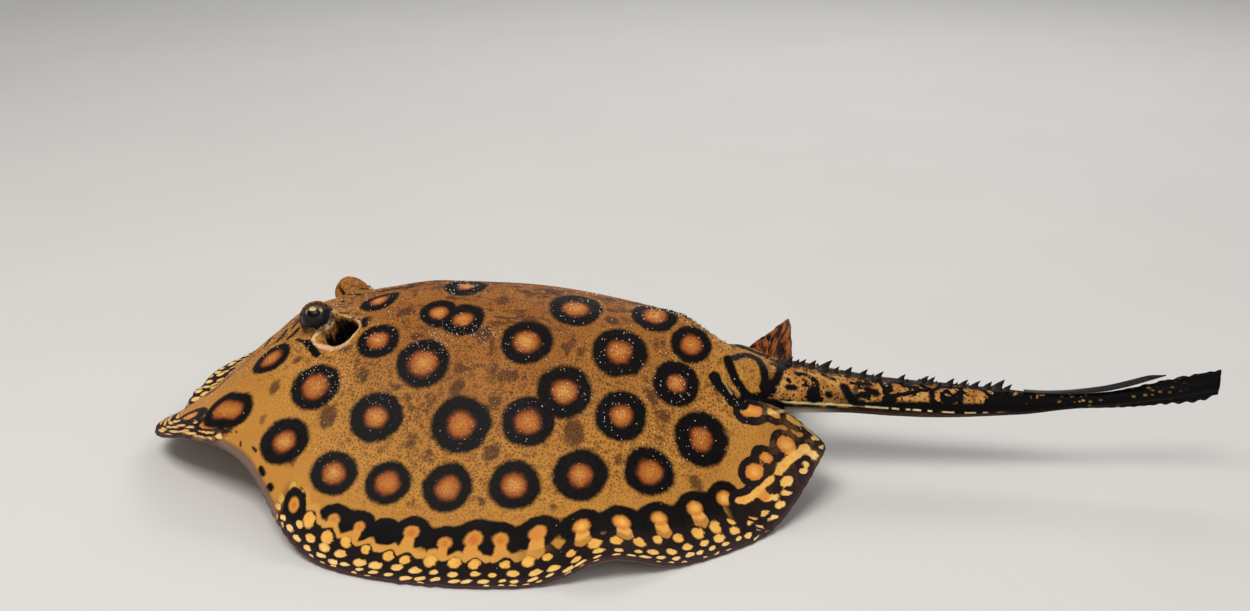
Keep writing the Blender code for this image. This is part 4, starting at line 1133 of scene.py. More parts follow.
class Tree:
    def __init__(self, mat):
        mat.use_nodes = True
        self.t = mat.node_tree
        self.bsdf = self.t.nodes["Principled BSDF"]

    def put(self, sock, v):
        if hasattr(v, "is_output") or isinstance(v, bpy.types.NodeSocket):
            self.t.links.new(v, sock)
        else:
            sock.default_value = v

    def node(self, kind, **kw):
        n = self.t.nodes.new(kind)
        for k, v in kw.items():
            setattr(n, k, v)
        return n

    def m(self, op, a, b=None, c=None, clamp=False):
        n = self.node("ShaderNodeMath", operation=op, use_clamp=clamp)
        for i, v in enumerate((a, b, c)):
            if v is not None:
                self.put(n.inputs[i], v)
        return n.outputs[0]

    def add(self, a, b):
        return self.m("ADD", a, b)

    def sub(self, a, b):
        return self.m("SUBTRACT", a, b)

    def mul(self, a, b):
        return self.m("MULTIPLY", a, b)

    def least(self, a, b):
        return self.m("MINIMUM", a, b)

    def most(self, a, b):
        return self.m("MAXIMUM", a, b)

    def inv(self, a):
        return self.m("SUBTRACT", 1.0, a)

    def step(self, v, lo, hi, a=0.0, b=1.0):
        n = self.node("ShaderNodeMapRange", interpolation_type="SMOOTHSTEP")
        flip = isinstance(lo, (int, float)) and isinstance(hi, (int, float)) and lo > hi
        if flip:
            lo, hi, a, b = hi, lo, b, a
        self.put(n.inputs["Value"], v)
        self.put(n.inputs["From Min"], lo)
        self.put(n.inputs["From Max"], hi)
        self.put(n.inputs["To Min"], a)
        self.put(n.inputs["To Max"], b)
        return n.outputs["Result"]

    def attr(self, name):
        return self.node("ShaderNodeAttribute", attribute_name=name).outputs["Fac"]

    def mix(self, f, a, b, blend="MIX"):
        n = self.node("ShaderNodeMix", data_type="RGBA", blend_type=blend)
        self.put(n.inputs[0], f)
        self.put(n.inputs[6], a)
        self.put(n.inputs[7], b)
        return n.outputs[2]

    def noise(self, vec, scale, detail=2.0, rough=0.5, dims="3D"):
        n = self.node("ShaderNodeTexNoise", noise_dimensions=dims)
        self.put(n.inputs["Vector"], vec)
        n.inputs["Scale"].default_value = scale
        n.inputs["Detail"].default_value = detail
        n.inputs["Roughness"].default_value = rough
        return n.outputs["Fac"]

    def wob(self, vec, scale, amount, detail=1.0):
        return self.mul(self.sub(self.noise(vec, scale, detail), 0.5), 2.0 * amount)

    def white(self, w, seed):
        n = self.node("ShaderNodeTexWhiteNoise", noise_dimensions="2D")
        self.put(n.inputs["Vector"], self.xyz(w, seed))
        return n.outputs["Value"]

    def row(self, s, d, seed, pitch, d0, r_s, r_d, tilt, jit_d=0.6, keep=1.1, wob=0.0):
        """One row of separate oval spots along the rim: how far inside the nearest spot's edge, and the place in the pitch."""
        q = self.add(self.mul(s, 1.0 / pitch), 0.37 * seed)
        cell = self.m("FLOOR", q)
        u = self.sub(self.sub(q, cell), 0.5)
        r1, r2, r3, r4 = (self.white(cell, seed + 0.1 * k) for k in range(4))
        du = self.sub(self.mul(u, pitch), self.mul(self.sub(r1, 0.5), 0.34 * pitch))
        dd = self.sub(self.sub(d, d0), self.mul(self.sub(r2, 0.5), 2.0 * jit_d))
        k = self.add(tilt, self.mul(self.sub(r3, 0.5), 0.9))
        a = self.add(du, self.mul(dd, k))
        b = self.sub(dd, self.mul(du, self.mul(k, 0.7)))
        size = self.mul(self.add(0.80, self.mul(r4, 0.34)), self.step(r3, 0.0, 0.1, 0.9, 1.0))
        ea = self.m("DIVIDE", a, self.mul(size, r_s))
        eb = self.m("DIVIDE", b, self.mul(size, r_d))
        e = self.m("SQRT", self.add(self.mul(ea, ea), self.mul(eb, eb)))
        e = self.add(e, self.m("MULTIPLY", self.m("GREATER_THAN", r2, keep), 9.0))
        return self.add(e, wob), self.m("DIVIDE", du, pitch)

    def cells(self, vec, scale, feature="F1", random=1.0, dims="3D", out="Distance"):
        n = self.node("ShaderNodeTexVoronoi", feature=feature, voronoi_dimensions=dims)
        self.put(n.inputs["Vector"], vec)
        n.inputs["Scale"].default_value = scale
        n.inputs["Randomness"].default_value = random
        return n.outputs[out]

    def xyz(self, x, y, z=0.0):
        n = self.node("ShaderNodeCombineXYZ")
        for i, v in enumerate((x, y, z)):
            self.put(n.inputs[i], v)
        return n.outputs[0]

    def scaled(self, vec, s):
        n = self.node("ShaderNodeVectorMath", operation="MULTIPLY")
        self.put(n.inputs[0], vec)
        n.inputs[1].default_value = s if isinstance(s, (tuple, list)) else (s, s, s)
        return n.outputs[0]

    def object_mm(self):
        return self.scaled(self.node("ShaderNodeTexCoord").outputs["Object"], 1000.0)

    def bumps(self, *pairs):
        """Chain of bump nodes: (height, distance in metres, strength)."""
        last = None
        for h, dist, strength in pairs:
            n = self.node("ShaderNodeBump")
            n.inputs["Strength"].default_value = strength
            n.inputs["Distance"].default_value = dist
            self.put(n.inputs["Height"], h)
            if last is not None:
                self.put(n.inputs["Normal"], last)
            last = n.outputs["Normal"]
        return last


# ---------------------------------------------------------------- the skin
GOLD = lin(186, 128, 54)
TAN = lin(148, 90, 38)
BROWN = lin(88, 50, 24)
SMUDGE = lin(62, 38, 26)
INK = lin(5, 3, 3)
INK_WARM = lin(18, 10, 8)
CORE_LIGHT = lin(208, 148, 74)
CORE_WARM = lin(190, 120, 50)
CORE = lin(166, 92, 36)
CORE_EDGE = lin(102, 46, 20)
YELLOW = lin(236, 184, 90)
YELLOW_DEEP = lin(224, 154, 62)
NET = lin(26, 15, 15)
NET_RIM = lin(46, 32, 33)
CREAM = lin(242, 208, 146)
BELLY = lin(228, 208, 184)
BELLY_RIM = lin(122, 98, 84)


def skin_material():
    mat = bpy.data.materials.new("stingray_skin")
    t = Tree(mat)
    p = t.object_mm()
    s, d = t.attr("m_s"), t.attr("m_d")
    w1 = t.wob(p, 0.16, 1.0, 2.0)
    w2 = t.wob(p, 0.55, 1.0, 2.0)
    w3 = t.wob(p, 1.7, 1.0, 1.0)
    inland = t.step(d, 20.0, 40.0)
    # ground colour: golden toward the margin, browner over the back
    broad = t.noise(p, 0.045, 3.0, 0.6)
    back = t.mul(t.step(d, 30.0, 100.0), 0.85)
    ground = t.mix(t.m("ADD", back, t.mul(t.sub(broad, 0.5), 0.9), clamp=True), GOLD, TAN)
    mott = t.noise(p, 0.42, 4.0, 0.66)
    ground = t.mix(t.mul(t.step(mott, 0.48, 0.66), t.mul(inland, 0.56)), ground, BROWN)
    # small dark patches stretched along the crown
    along = t.noise(t.scaled(p, (0.09, 0.30, 0.30)), 1.0, 3.0, 0.6)
    crown = t.mul(t.step(along, 0.54, 0.62), t.step(d, 86.0, 108.0))
    ground = t.mix(t.mul(crown, 0.75), ground, SMUDGE)
    # smudges, ragged and speckled
    smudge = t.mul(t.attr("m_smudge"), t.add(0.22, t.mul(t.noise(p, 0.5, 4.0, 0.70), 1.35)))
    extra = t.mul(t.step(t.noise(p, 0.125, 3.0, 0.66), 0.54, 0.64), t.step(d, 36.0, 52.0))
    extra = t.mul(extra, t.step(t.attr("m_spot"), 1.05, 1.35))
    smudge = t.most(t.step(t.add(smudge, t.mul(w2, 0.07)), 0.27, 0.58), t.mul(extra, 0.9))
    ground = t.mix(t.mul(smudge, 0.78), ground, SMUDGE)
    # stipple: small round dots, evenly strewn over the back
    flat1 = t.scaled(p, (1 / 1.32, 1.2 / 1.32, 1.0))
    flat2 = t.scaled(p, (1 / 0.86, 1.2 / 0.86, 1.0))
    dots = t.cells(flat1, 1.0, random=0.78, dims="2D")
    dot = t.step(t.add(dots, t.mul(w3, 0.035)), 0.30, 0.13)
    fine_dots = t.step(t.cells(flat2, 1.0, random=0.9, dims="2D"), 0.31, 0.12)
    many = t.step(t.noise(p, 0.08, 2.0), 0.36, 0.60)
    back_on = t.step(d, 12.0, 46.0)
    strength = t.mul(t.add(t.mul(many, 0.3), 0.7), t.add(t.mul(back_on, 0.85), 0.15))
    strength = t.mul(strength, t.step(d, 8.0, 20.0))
    busy = t.m("ADD", t.mul(t.step(d, 44.0, 80.0), 0.45), t.mul(smudge, 0.6), clamp=True)
    speck = t.m("ADD", t.mul(dot, strength), t.mul(t.mul(fine_dots, busy), 0.62), clamp=True)
    colour = t.mix(t.mul(speck, 0.84), ground, lin(66, 30, 14))
    # marginal pattern, in rim coordinates: rows of separate yellow spots on a dark ground
    sabs = t.m("ABSOLUTE", s)
    sw = t.add(s, t.add(t.mul(w2, 0.55), t.mul(w1, 0.5)))
    dw = t.add(d, t.add(t.mul(w2, 0.40), t.mul(w1, 0.35)))
    front = t.mul(t.step(s, 38.0, 26.0), t.step(s, -128.0, -100.0))
    corner = t.mul(t.step(s, 27.0, 34.0), t.step(s, 86.0, 78.0))
    strip = t.mul(t.step(s, 62.0, 96.0), t.step(s, 140.0, 126.0))
    curl = t.mul(t.step(s, 84.0, 90.0), t.step(s, 131.0, 123.0))
    lobe = t.step(sabs, 296.0, 304.0)
    deep = t.step(sabs, 190.0, 300.0)
    edgy = t.add(t.mul(w2, 0.34), t.mul(w3, 0.20))
    e1, u1 = t.row(sw, dw, 1.0, 7.9, t.add(11.0, t.mul(deep, 1.6)), 2.35, 2.55, 0.30, 0.9, wob=edgy)
    e2, _ = t.row(sw, dw, 2.0, 6.7, t.add(6.2, t.mul(deep, 1.6)), 2.25, 1.75, 0.45, 0.6, wob=edgy)
    e3, _ = t.row(sw, dw, 3.0, 5.2, t.add(2.7, t.mul(deep, 1.0)), 1.95, 1.15, 0.35, 0.5, wob=edgy)
    e4, _ = t.row(sw, dw, 4.0, 4.3, 0.75, 1.35, 0.60, 0.2, 0.25, 0.62, wob=edgy)
    spots = t.step(t.least(t.least(e1, e2), t.least(e3, e4)), 1.12, 0.72)
    netf = t.xyz(t.mul(sw, 1 / 3.6), t.mul(dw, 1 / 5.4))
    spots2 = t.step(t.cells(netf, 1.0, random=0.85, dims="2D"), 0.43, 0.28)
    netc = t.xyz(t.mul(sw, 1 / 12.0), t.mul(dw, 1 / 1.8))
    spots4 = t.step(t.cells(netc, 1.0, random=0.9, dims="2D"), 0.43, 0.27)
    spots = t.mix(front, spots, spots2)
    spots = t.mix(corner, spots, spots4)
    yel = t.add(t.attr("m_yel"), t.add(t.mul(w2, 0.65), t.add(t.mul(w1, 0.85), t.mul(w3, 0.2))))
    spots = t.m("MULTIPLY", spots, t.step(yel, 1.1, 1.7))
    spots = t.most(t.mul(spots, t.inv(t.mul(lobe, t.step(sabs, 306.0, 312.0)))), t.step(yel, 0.28, -0.30))
    # inner limit of the net: wide over the snout, none where the front edge curls, in arches over the inner row
    lim = t.add(t.mul(front, 5.0), t.add(t.mul(deep, 1.4), 13.0))
    lim = t.add(lim, t.mul(corner, t.add(-3.0, t.mul(t.step(s, 50.0, 84.0), -6.0))))
    lim = t.add(lim, t.mul(t.m("COSINE", t.mul(u1, 6.2832)), t.mul(t.inv(t.most(front, corner)), 1.15)))
    lim = t.mix(lobe, lim, t.step(sabs, 303.0, 322.0, 11.0, 4.0))
    near_yel = t.step(t.add(t.attr("m_yel"), t.add(t.mul(w1, 0.7), t.mul(w2, 0.4))), 3.1, 2.6)
    # band and scallops
    sc = t.add(t.attr("m_scallop"), t.add(t.mul(w2, 0.45), t.mul(w1, 0.65)))
    sl = t.add(t.attr("m_slot"), t.add(t.mul(w2, 0.5), t.mul(w1, 0.4)))
    ring = t.step(t.least(t.sub(sc, 4.1), t.add(t.attr("m_fill"), t.mul(w1, 0.6))), 0.55, -0.45)
    band_lo = t.add(lim, t.add(t.mul(t.noise(t.xyz(t.mul(s, 0.13), 7.0), 1.0, 2.0), 5.6), t.add(-0.4, t.mul(w1, 0.9))))
    rimward = t.step(t.sub(d, band_lo), -0.7, 0.8)
    rimward = t.most(rimward, t.step(t.noise(t.xyz(t.mul(s, 0.19), 3.0), 1.0, 1.0), 0.60, 0.63))
    rimward = t.most(rimward, lobe)
    dark = t.mul(ring, rimward)
    hole = t.most(t.step(sc, 0.85, -0.55), t.mul(t.step(sl, 0.5, -0.5), t.inv(lobe)))
    centre = t.mix(t.step(sc, -2.0, 0.2), lin(196, 112, 44), lin(214, 146, 64))
    centre = t.mix(t.mul(fine_dots, 0.35), centre, lin(150, 84, 34))
    centre = t.mix(t.step(sabs, 215.0, 245.0), centre, t.mix(t.step(sc, -2.3, -0.2), lin(236, 178, 88), t.mix(t.step(sc, 0.1, 1.2), lin(208, 132, 54), lin(226, 164, 80))))
    scal_col = t.mix(hole, t.mix(t.step(w1, -0.4, 0.6), INK, INK_WARM), centre)
    band_zone = t.mul(t.step(t.sub(d, band_lo), 1.5, -0.5), t.step(t.sub(d, lim), -1.0, 0.5))
    back_half = t.step(sabs, 214.0, 234.0)
    colour = t.mix(t.mul(t.mul(band_zone, t.mul(t.inv(back_half), t.add(0.5, t.mul(w1, 0.3)))), t.inv(t.most(strip, corner))), colour, lin(222, 162, 78))
    colour = t.mix(t.mul(t.mul(t.step(t.sub(d, band_lo), 2.0, 0.6), t.step(t.sub(d, lim), -1.6, -0.4)), t.mul(back_half, t.inv(hole))), colour, NET)
    colour = t.mix(t.mul(dark, t.inv(t.attr("m_under"))), colour, scal_col)
    deep_in = t.step(d, 1.0, 12.0)
    net_bg = t.mix(t.step(d, 6.0, 0.5), NET, NET_RIM)
    shade = t.mix(t.step(w2, -0.7, 0.7), t.mix(deep_in, YELLOW, YELLOW_DEEP), t.mix(deep_in, CREAM, YELLOW))
    shade = t.mix(t.mul(corner, 0.8), shade, t.mix(t.step(w2, -0.5, 0.5), lin(216, 158, 84), lin(232, 186, 122)))
    net_col = t.mix(spots, net_bg, shade)
    colour = t.mix(near_yel, colour, net_bg)
    # the net is left off the curled front edge, which is painted in shade below
    in_net = t.mul(t.step(t.sub(dw, lim), 0.45, -0.45), t.inv(curl))
    colour = t.mix(in_net, colour, net_col)
    first = t.mul(t.step(sabs, 122.0, 124.0), t.step(sabs, 143.0, 141.0))
    colour = t.mix(t.mul(t.mul(t.step(sc, 3.6, 2.8), t.step(d, 1.6, 2.6)), first), colour, scal_col)
    colour = t.mix(t.step(yel, 0.30, -0.30), colour, t.mix(t.attr("m_ydeep"), shade, t.mix(t.step(yel, -2.4, -0.2), lin(230, 164, 76), lin(204, 126, 50))))
    # painted shade: the curled-under front edge in a grey-brown gradient in place of its spots
    curl_shade_c = t.mix(t.step(t.add(d, t.mul(w2, 0.5)), 0.3, 3.4), lin(118, 98, 88), lin(80, 54, 40))
    colour = t.mix(t.mul(strip, t.step(t.add(d, t.mul(w2, 0.6)), t.add(0.9, t.mul(curl, 2.6)), t.mul(curl, 1.2))), colour, curl_shade_c)
    # the very edge of the fin
    lip = t.step(t.add(d, t.mul(w2, 0.35)), 0.80, 0.25)
    colour = t.mix(t.mul(lip, t.inv(t.mul(strip, 0.8))), colour, lin(66, 48, 47))
    # eye-spots: a black ring, soft on its inner side, round a speckled orange-brown centre
    sp = t.add(t.attr("m_spot"), t.add(t.mul(w1, 0.12), t.add(t.mul(w2, 0.06), t.mul(w3, 0.035))))
    k = t.attr("m_inner")
    spot_on = t.step(t.add(sp, t.mul(w3, 0.035)), 1.11, 0.90)
    halo = t.mul(t.step(sp, 1.24, 1.0), 0.10)
    colour = t.mix(halo, colour, GOLD)
    rel = t.m("DIVIDE", sp, k)
    core_on = t.step(rel, 1.20, 0.74)
    core_c = t.mix(t.step(t.add(rel, t.mul(w2, 0.12)), 0.08, 0.80), t.mix(t.step(t.attr("m_tone"), -1.0, 1.0), CORE_LIGHT, CORE_WARM), CORE)
    core_c = t.mix(t.mul(t.step(rel, 0.62, 1.02), 0.75), core_c, CORE_EDGE)
    core_c = t.mix(t.mul(t.m("ADD", t.mul(dot, 0.6), t.mul(fine_dots, 0.55), clamp=True), 0.72), core_c, lin(112, 50, 20))
    ring_c = t.mix(t.step(t.noise(p, 0.9, 2.0), 0.35, 0.75), INK, INK_WARM)
    colour = t.mix(spot_on, colour, t.mix(core_on, ring_c, core_c))
    # spiracle and eye: pale folds round the spiracle; painted shade in its pit, beside it, at the lid's edge against
    # the globe and, over the seat's own brown, under the globe
    cr = t.attr("m_cream")
    colour = t.mix(t.mul(t.step(cr, 0.25, 0.85), 0.92), colour, t.mix(t.noise(p, 0.8, 2.0), lin(236, 206, 158), lin(190, 134, 92)))
    # painted shade: the spiracle's pit, and the patch beside it, near black
    pit_shade = t.attr("m_pit_shade")
    colour = t.mix(pit_shade, colour, t.mix(t.step(t.noise(p, 0.45, 3.0), 0.52, 0.70), lin(7, 4, 4), lin(34, 20, 12)))
    # the seat's own brown under the globe, darker there as painted shade
    colour = t.mix(t.mul(t.attr("m_ped_and_shade"), 0.8), colour, t.mix(t.step(w2, -0.6, 0.6), lin(112, 70, 38), lin(64, 40, 24)))
    # painted shade: the lid's edge darkened against the globe
    colour = t.mix(t.mul(t.attr("m_socket_shade"), 0.9), colour, lin(30, 19, 18))
    # pelvic fins; the left one, tucked under the rear lobe, is painted near black as painted shade
    pv, pu = t.attr("m_pv"), t.attr("m_pu")
    rays = t.noise(t.xyz(t.mul(pu, 16.0), t.mul(pv, 3.2)), 1.0, 3.0, 0.6)
    leaf = t.mix(t.step(rays, 0.40, 0.58), lin(150, 84, 36), lin(30, 17, 13))
    leaf = t.mix(t.step(t.mul(pv, t.step(pu, 0.25, 0.5)), 0.86, 0.99), leaf, lin(96, 82, 78))
    # painted shade: the left fin near black
    leaf = t.mix(t.attr("m_pelvic_left_shade"), leaf, t.mix(t.step(rays, 0.5, 0.7), lin(7, 5, 5), lin(48, 28, 18)))
    colour = t.mix(t.attr("m_pelvic"), colour, leaf)
    # tail
    tx, tv, tg = t.attr("m_tx"), t.attr("m_tv"), t.attr("m_girth")
    txw = t.add(tx, t.mul(w1, 2.0))
    blotv = t.xyz(t.mul(tx, 0.125), t.mul(tg, 0.17))
    bn = t.add(t.noise(blotv, 1.0, 3.0, 0.62), t.mul(w2, 0.02))
    lowlim = t.step(tx, 98, 150, 0.585, 0.515)
    lowlim = t.add(lowlim, t.step(tx, 150, 196, 0.0, -0.085))
    blot = t.step(t.sub(bn, lowlim), -0.012, 0.022)
    te = t.cells(t.xyz(t.mul(txw, 1 / 13.0), t.mul(tg, 1 / 11.0)), 1.0, feature="DISTANCE_TO_EDGE", random=0.95)
    veins = t.mul(t.step(t.add(te, t.mul(w2, 0.05)), 0.085, 0.045), t.step(tx, 110.0, 140.0))
    blot = t.most(blot, veins)
    tan_t = t.mix(t.step(t.noise(p, 0.2, 3.0), 0.35, 0.65), lin(164, 104, 44), lin(194, 142, 76))
    dot3 = t.step(t.add(t.cells(p, 1 / 1.2, random=0.85), t.mul(w3, 0.05)), 0.44, 0.24)
    tan_t = t.mix(t.mul(dot3, 0.85), tan_t, lin(46, 24, 12))
    tail_c = t.mix(blot, tan_t, INK)
    # dark line of the back under the thorns; the dark lower flank is painted shade
    ridge = t.mul(t.step(t.add(tv, t.mul(w2, 0.05)), 0.93, 0.985), t.step(t.noise(t.xyz(t.mul(tx, 0.4), 1.0), 1.0, 2.0), 0.36, 0.48))
    tail_c = t.mix(t.mul(ridge, 0.9), tail_c, INK_WARM)
    low_blot = t.mul(t.step(t.noise(t.xyz(t.mul(tx, 0.17), t.mul(tg, 0.12)), 1.0, 2.0), t.step(tx, 116.0, 148.0, 0.44, 0.14), t.step(tx, 116.0, 148.0, 0.54, 0.30)), t.step(t.add(tv, t.mul(w2, 0.10)), t.step(tx, 116.0, 150.0, 0.05, 0.42), t.step(tx, 116.0, 150.0, -0.15, 0.20)))
    tail_c = t.mix(low_blot, tail_c, INK)
    # pale dashes along the side ridge
    run = t.noise(t.xyz(t.mul(tx, 0.26), 3.0), 1.0, 1.0)
    dash = t.mul(t.step(t.m("ABSOLUTE", t.add(t.add(tv, t.mul(w2, 0.04)), t.step(tx, 140.0, 178.0, 0.15, 0.38))), 0.085, 0.02), t.step(run, t.step(tx, 112, 150, 0.34, 0.46), t.step(tx, 112, 150, 0.40, 0.52)))
    dash = t.mul(dash, t.step(tx, 186.0, 172.0))
    # painted shade: the tail's lower flank darkened to dark brown
    flank_shade = t.mul(t.step(tv, t.step(tx, 140.0, 178.0, -0.22, -0.44), t.step(tx, 140.0, 178.0, -0.34, -0.55)), t.step(t.attr("m_tail"), 0.0, 0.6))
    tail_c = t.mix(flank_shade, tail_c, t.mix(t.step(t.add(w1, w2), -0.3, 0.7), lin(26, 15, 11), lin(92, 56, 32)))
    tail_c = t.mix(dash, tail_c, t.mix(t.step(w2, -0.6, 0.5), lin(246, 232, 186), lin(214, 190, 108)))
    # the end is nearly black with a few small flecks
    fleck = t.cells(t.scaled(p, (0.34, 0.6, 0.55)), 1.0, random=1.0)
    flecks = t.mul(t.step(fleck, 0.30, 0.20), t.step(t.noise(p, 0.09, 1.0), 0.40, 0.56))
    end_c = t.mix(t.mul(flecks, t.step(tx, 254.0, 205.0)), lin(7, 5, 5), lin(186, 146, 80))
    tail_c = t.mix(t.step(txw, 192.0, 212.0), tail_c, end_c)
    colour = t.mix(t.attr("m_tail"), colour, tail_c)
    # streaks, bars and pale strokes; the thin pale stroke along each side of the tail is a painted highlight
    bl = t.add(t.attr("m_black"), t.add(t.mul(w1, 0.30), t.add(t.mul(w2, 0.34), t.mul(w3, 0.20))))
    colour = t.mix(t.step(bl, 0.55, -0.45), colour, t.mix(t.step(bl, -0.6, 0.4), INK, INK_WARM))
    pale_hl = t.add(t.attr("m_pale_and_highlight"), t.mul(w2, 0.25))
    colour = t.mix(t.mul(t.step(pale_hl, 0.30, -0.30), 0.62), colour, lin(186, 160, 100))
    # underside
    und = t.attr("m_under")
    rimdark = t.step(t.add(d, t.mul(w1, 3.0)), 17.0, 3.0)
    belly = t.mix(t.mul(t.step(t.noise(p, 0.12, 4.0, 0.6), 0.42, 0.72), 0.30), BELLY, lin(200, 168, 150))
    belly = t.mix(t.mul(rimdark, 0.85), belly, BELLY_RIM)
    belly = t.mix(t.mul(t.step(t.cells(p, 0.5), 0.35, 0.15), t.mul(rimdark, 0.6)), belly, lin(66, 50, 44))
    fe = t.attr("m_feat")
    belly = t.mix(t.step(fe, 1.6, 0.1), belly, lin(196, 140, 124))
    belly = t.mix(t.step(fe, 0.15, -0.35), belly, lin(78, 38, 34))
    belly = t.mix(t.step(tx, 110.0, 128.0), belly, t.mix(t.step(tx, 170.0, 196.0), lin(60, 40, 28), lin(9, 6, 6)))
    colour = t.mix(und, colour, belly)
    t.put(t.bsdf.inputs["Base Color"], colour)
    # finish: moist, with a fine grain and scattered glints from the denticles
    grain = t.noise(p, 1.5, 3.0, 0.6)
    pores = t.cells(p, 1 / 0.75, random=1.0)
    thorny = t.cells(p, 1 / 2.3, random=1.0)
    clus = t.step(t.noise(p, 0.055, 3.0, 0.7), 0.53, 0.66)
    rays_b = t.mul(t.m("SINE", t.mul(t.add(s, t.mul(w1, 0.7)), 4.4)), t.step(d, 30.0, 8.0))
    rough = t.add(0.46, t.mul(grain, 0.22))
    rough = t.add(rough, t.mul(pit_shade, -0.12))
    t.put(t.bsdf.inputs["Roughness"], rough)
    nrm = t.bumps((t.noise(p, 0.28, 3.0, 0.55), 0.0009, 0.35), (grain, 0.00035, 0.45), (pores, 0.00022, 0.35),
                  (rays_b, 0.00018, 0.16), (t.mul(t.step(thorny, 0.22, 0.05), clus), 0.00045, 0.8))
    t.put(t.bsdf.inputs["Normal"], nrm)
    t.bsdf.inputs["Coat Weight"].default_value = 0.02
    t.bsdf.inputs["Coat Roughness"].default_value = 0.25
    t.bsdf.inputs["Specular IOR Level"].default_value = 0.07
    t.bsdf.inputs["Subsurface Weight"].default_value = 0.0
    return mat


# to metres in the row frame
me.vertices.foreach_set("co", world(P).astype(np.float32).ravel())
me.update()
me.shade_smooth()
me.materials.clear()
me.materials.append(skin_material())
skin.name = "stingray_skin"
me.name = "stingray_skin"
mi = np.zeros(len(me.polygons), np.int32)
me.polygons.foreach_set("material_index", mi)
for name in ("px", "py", "gt", "ga", "gd", "part", "fresh"):
    at = me.attributes.get(name)
    if at is not None:
        me.attributes.remove(at)
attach(skin, "root")
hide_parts("head", "trunk", "pectoral_fin_left_front", "pectoral_fin_left_rear", "pectoral_fin_right_front",
            "pectoral_fin_right_rear", "pelvic_fin_left", "pelvic_fin_right", "tail_base", "tail_middle", "tail_end")


# ---------------------------------------------------------------- the eyes
def eye_material():
    mat = bpy.data.materials.new("eye_surface")
    t = Tree(mat)
    ax, px_, py_ = t.attr("e_axis"), t.attr("e_side"), t.attr("e_up")   # angle from the eye's axis, and its two components, in mm
    p = t.object_mm()
    n1 = t.wob(p, 0.9, 1.0, 3.0)
    n2 = t.noise(p, 2.6, 3.0, 0.6)
    r = t.m("SQRT", t.add(t.mul(px_, px_), t.mul(py_, py_)))
    globe = t.mix(t.step(n2, 0.35, 0.7), lin(18, 24, 33), lin(31, 38, 37))
    globe = t.mix(t.step(py_, 0.5, -3.5), globe, t.mix(t.step(n2, 0.35, 0.65), lin(34, 35, 26), lin(20, 23, 22)))
    # a dull ring round the pupil, tan on its front side, and a dark line outside it
    pyc = t.sub(py_, 1.15)
    r = t.m("SQRT", t.add(t.mul(px_, px_), t.mul(pyc, pyc)))
    ring_o = t.step(t.add(r, t.mul(n1, 0.35)), 3.6, 2.9)
    iris = t.mix(t.step(py_, -0.6, 2.2), lin(36, 40, 34), lin(116, 92, 58))
    iris = t.mix(t.mul(t.step(n2, 0.42, 0.68), 0.75), iris, lin(38, 34, 28))
    globe = t.mix(t.mul(ring_o, 0.8), globe, iris)
    globe = t.mix(t.mul(t.step(t.m("ABSOLUTE", t.sub(r, 4.4)), 0.7, 0.1), 0.35), globe, lin(8, 10, 14))
    # dark violet band under the upper lid
    globe = t.mix(t.step(t.add(py_, t.mul(n1, 0.3)), 3.7, 4.6), globe, lin(44, 28, 34))
    globe = t.mix(t.step(t.m("ABSOLUTE", t.sub(t.add(py_, t.mul(n1, 0.2)), 3.75)), 0.30, 0.08), globe, lin(92, 78, 66))
    # pupil, wider than high, its top edge folded down by a golden flap whose cream-white part is a painted highlight; a
    # second bright patch behind
    ell = t.m("SQRT", t.add(t.m("POWER", t.m("DIVIDE", px_, 2.35), 2.0), t.m("POWER", t.m("DIVIDE", t.sub(py_, 0.95), 1.75), 2.0)))
    pupil = t.step(ell, 1.06, 0.92)
    flap_r = t.m("SQRT", t.add(t.m("POWER", t.m("DIVIDE", t.add(px_, 0.55), 1.45), 2.0), t.m("POWER", t.m("DIVIDE", t.sub(py_, 2.45), 0.95), 2.0)))
    flap_highlight = t.step(t.add(flap_r, t.mul(n1, 0.15)), 1.08, 0.86)
    back_r = t.m("SQRT", t.add(t.m("POWER", t.m("DIVIDE", t.sub(px_, 2.45), 0.75), 2.0), t.m("POWER", t.m("DIVIDE", t.sub(py_, 2.1), 0.85), 2.0)))
    back = t.step(t.add(back_r, t.mul(n1, 0.2)), 1.15, 0.75)
    front_r = t.m("SQRT", t.add(t.m("POWER", t.m("DIVIDE", t.add(px_, 3.0), 0.65), 2.0), t.m("POWER", t.m("DIVIDE", t.sub(py_, 1.6), 1.15), 2.0)))
    globe = t.mix(t.mul(t.step(front_r, 1.2, 0.6), 0.75), globe, lin(150, 118, 78))
    globe = t.mix(t.mul(back, 0.65), globe, lin(206, 170, 118))
    globe = t.mix(pupil, globe, lin(3, 3, 4))
    globe = t.mix(flap_highlight, globe, t.mix(t.step(n2, 0.35, 0.65), lin(232, 204, 150), lin(168, 120, 64)))
    t.put(t.bsdf.inputs["Base Color"], globe)
    t.put(t.bsdf.inputs["Roughness"], t.add(0.20, t.mul(n2, 0.12)))
    t.bsdf.inputs["Coat Weight"].default_value = 0.06
    t.bsdf.inputs["Coat Roughness"].default_value = 0.03
    t.bsdf.inputs["Specular IOR Level"].default_value = 0.09
    t.put(t.bsdf.inputs["Normal"], t.bumps((t.mul(n2, ring_o), 0.0001, 0.4)))
    return mat


EYE_MAT = eye_material()


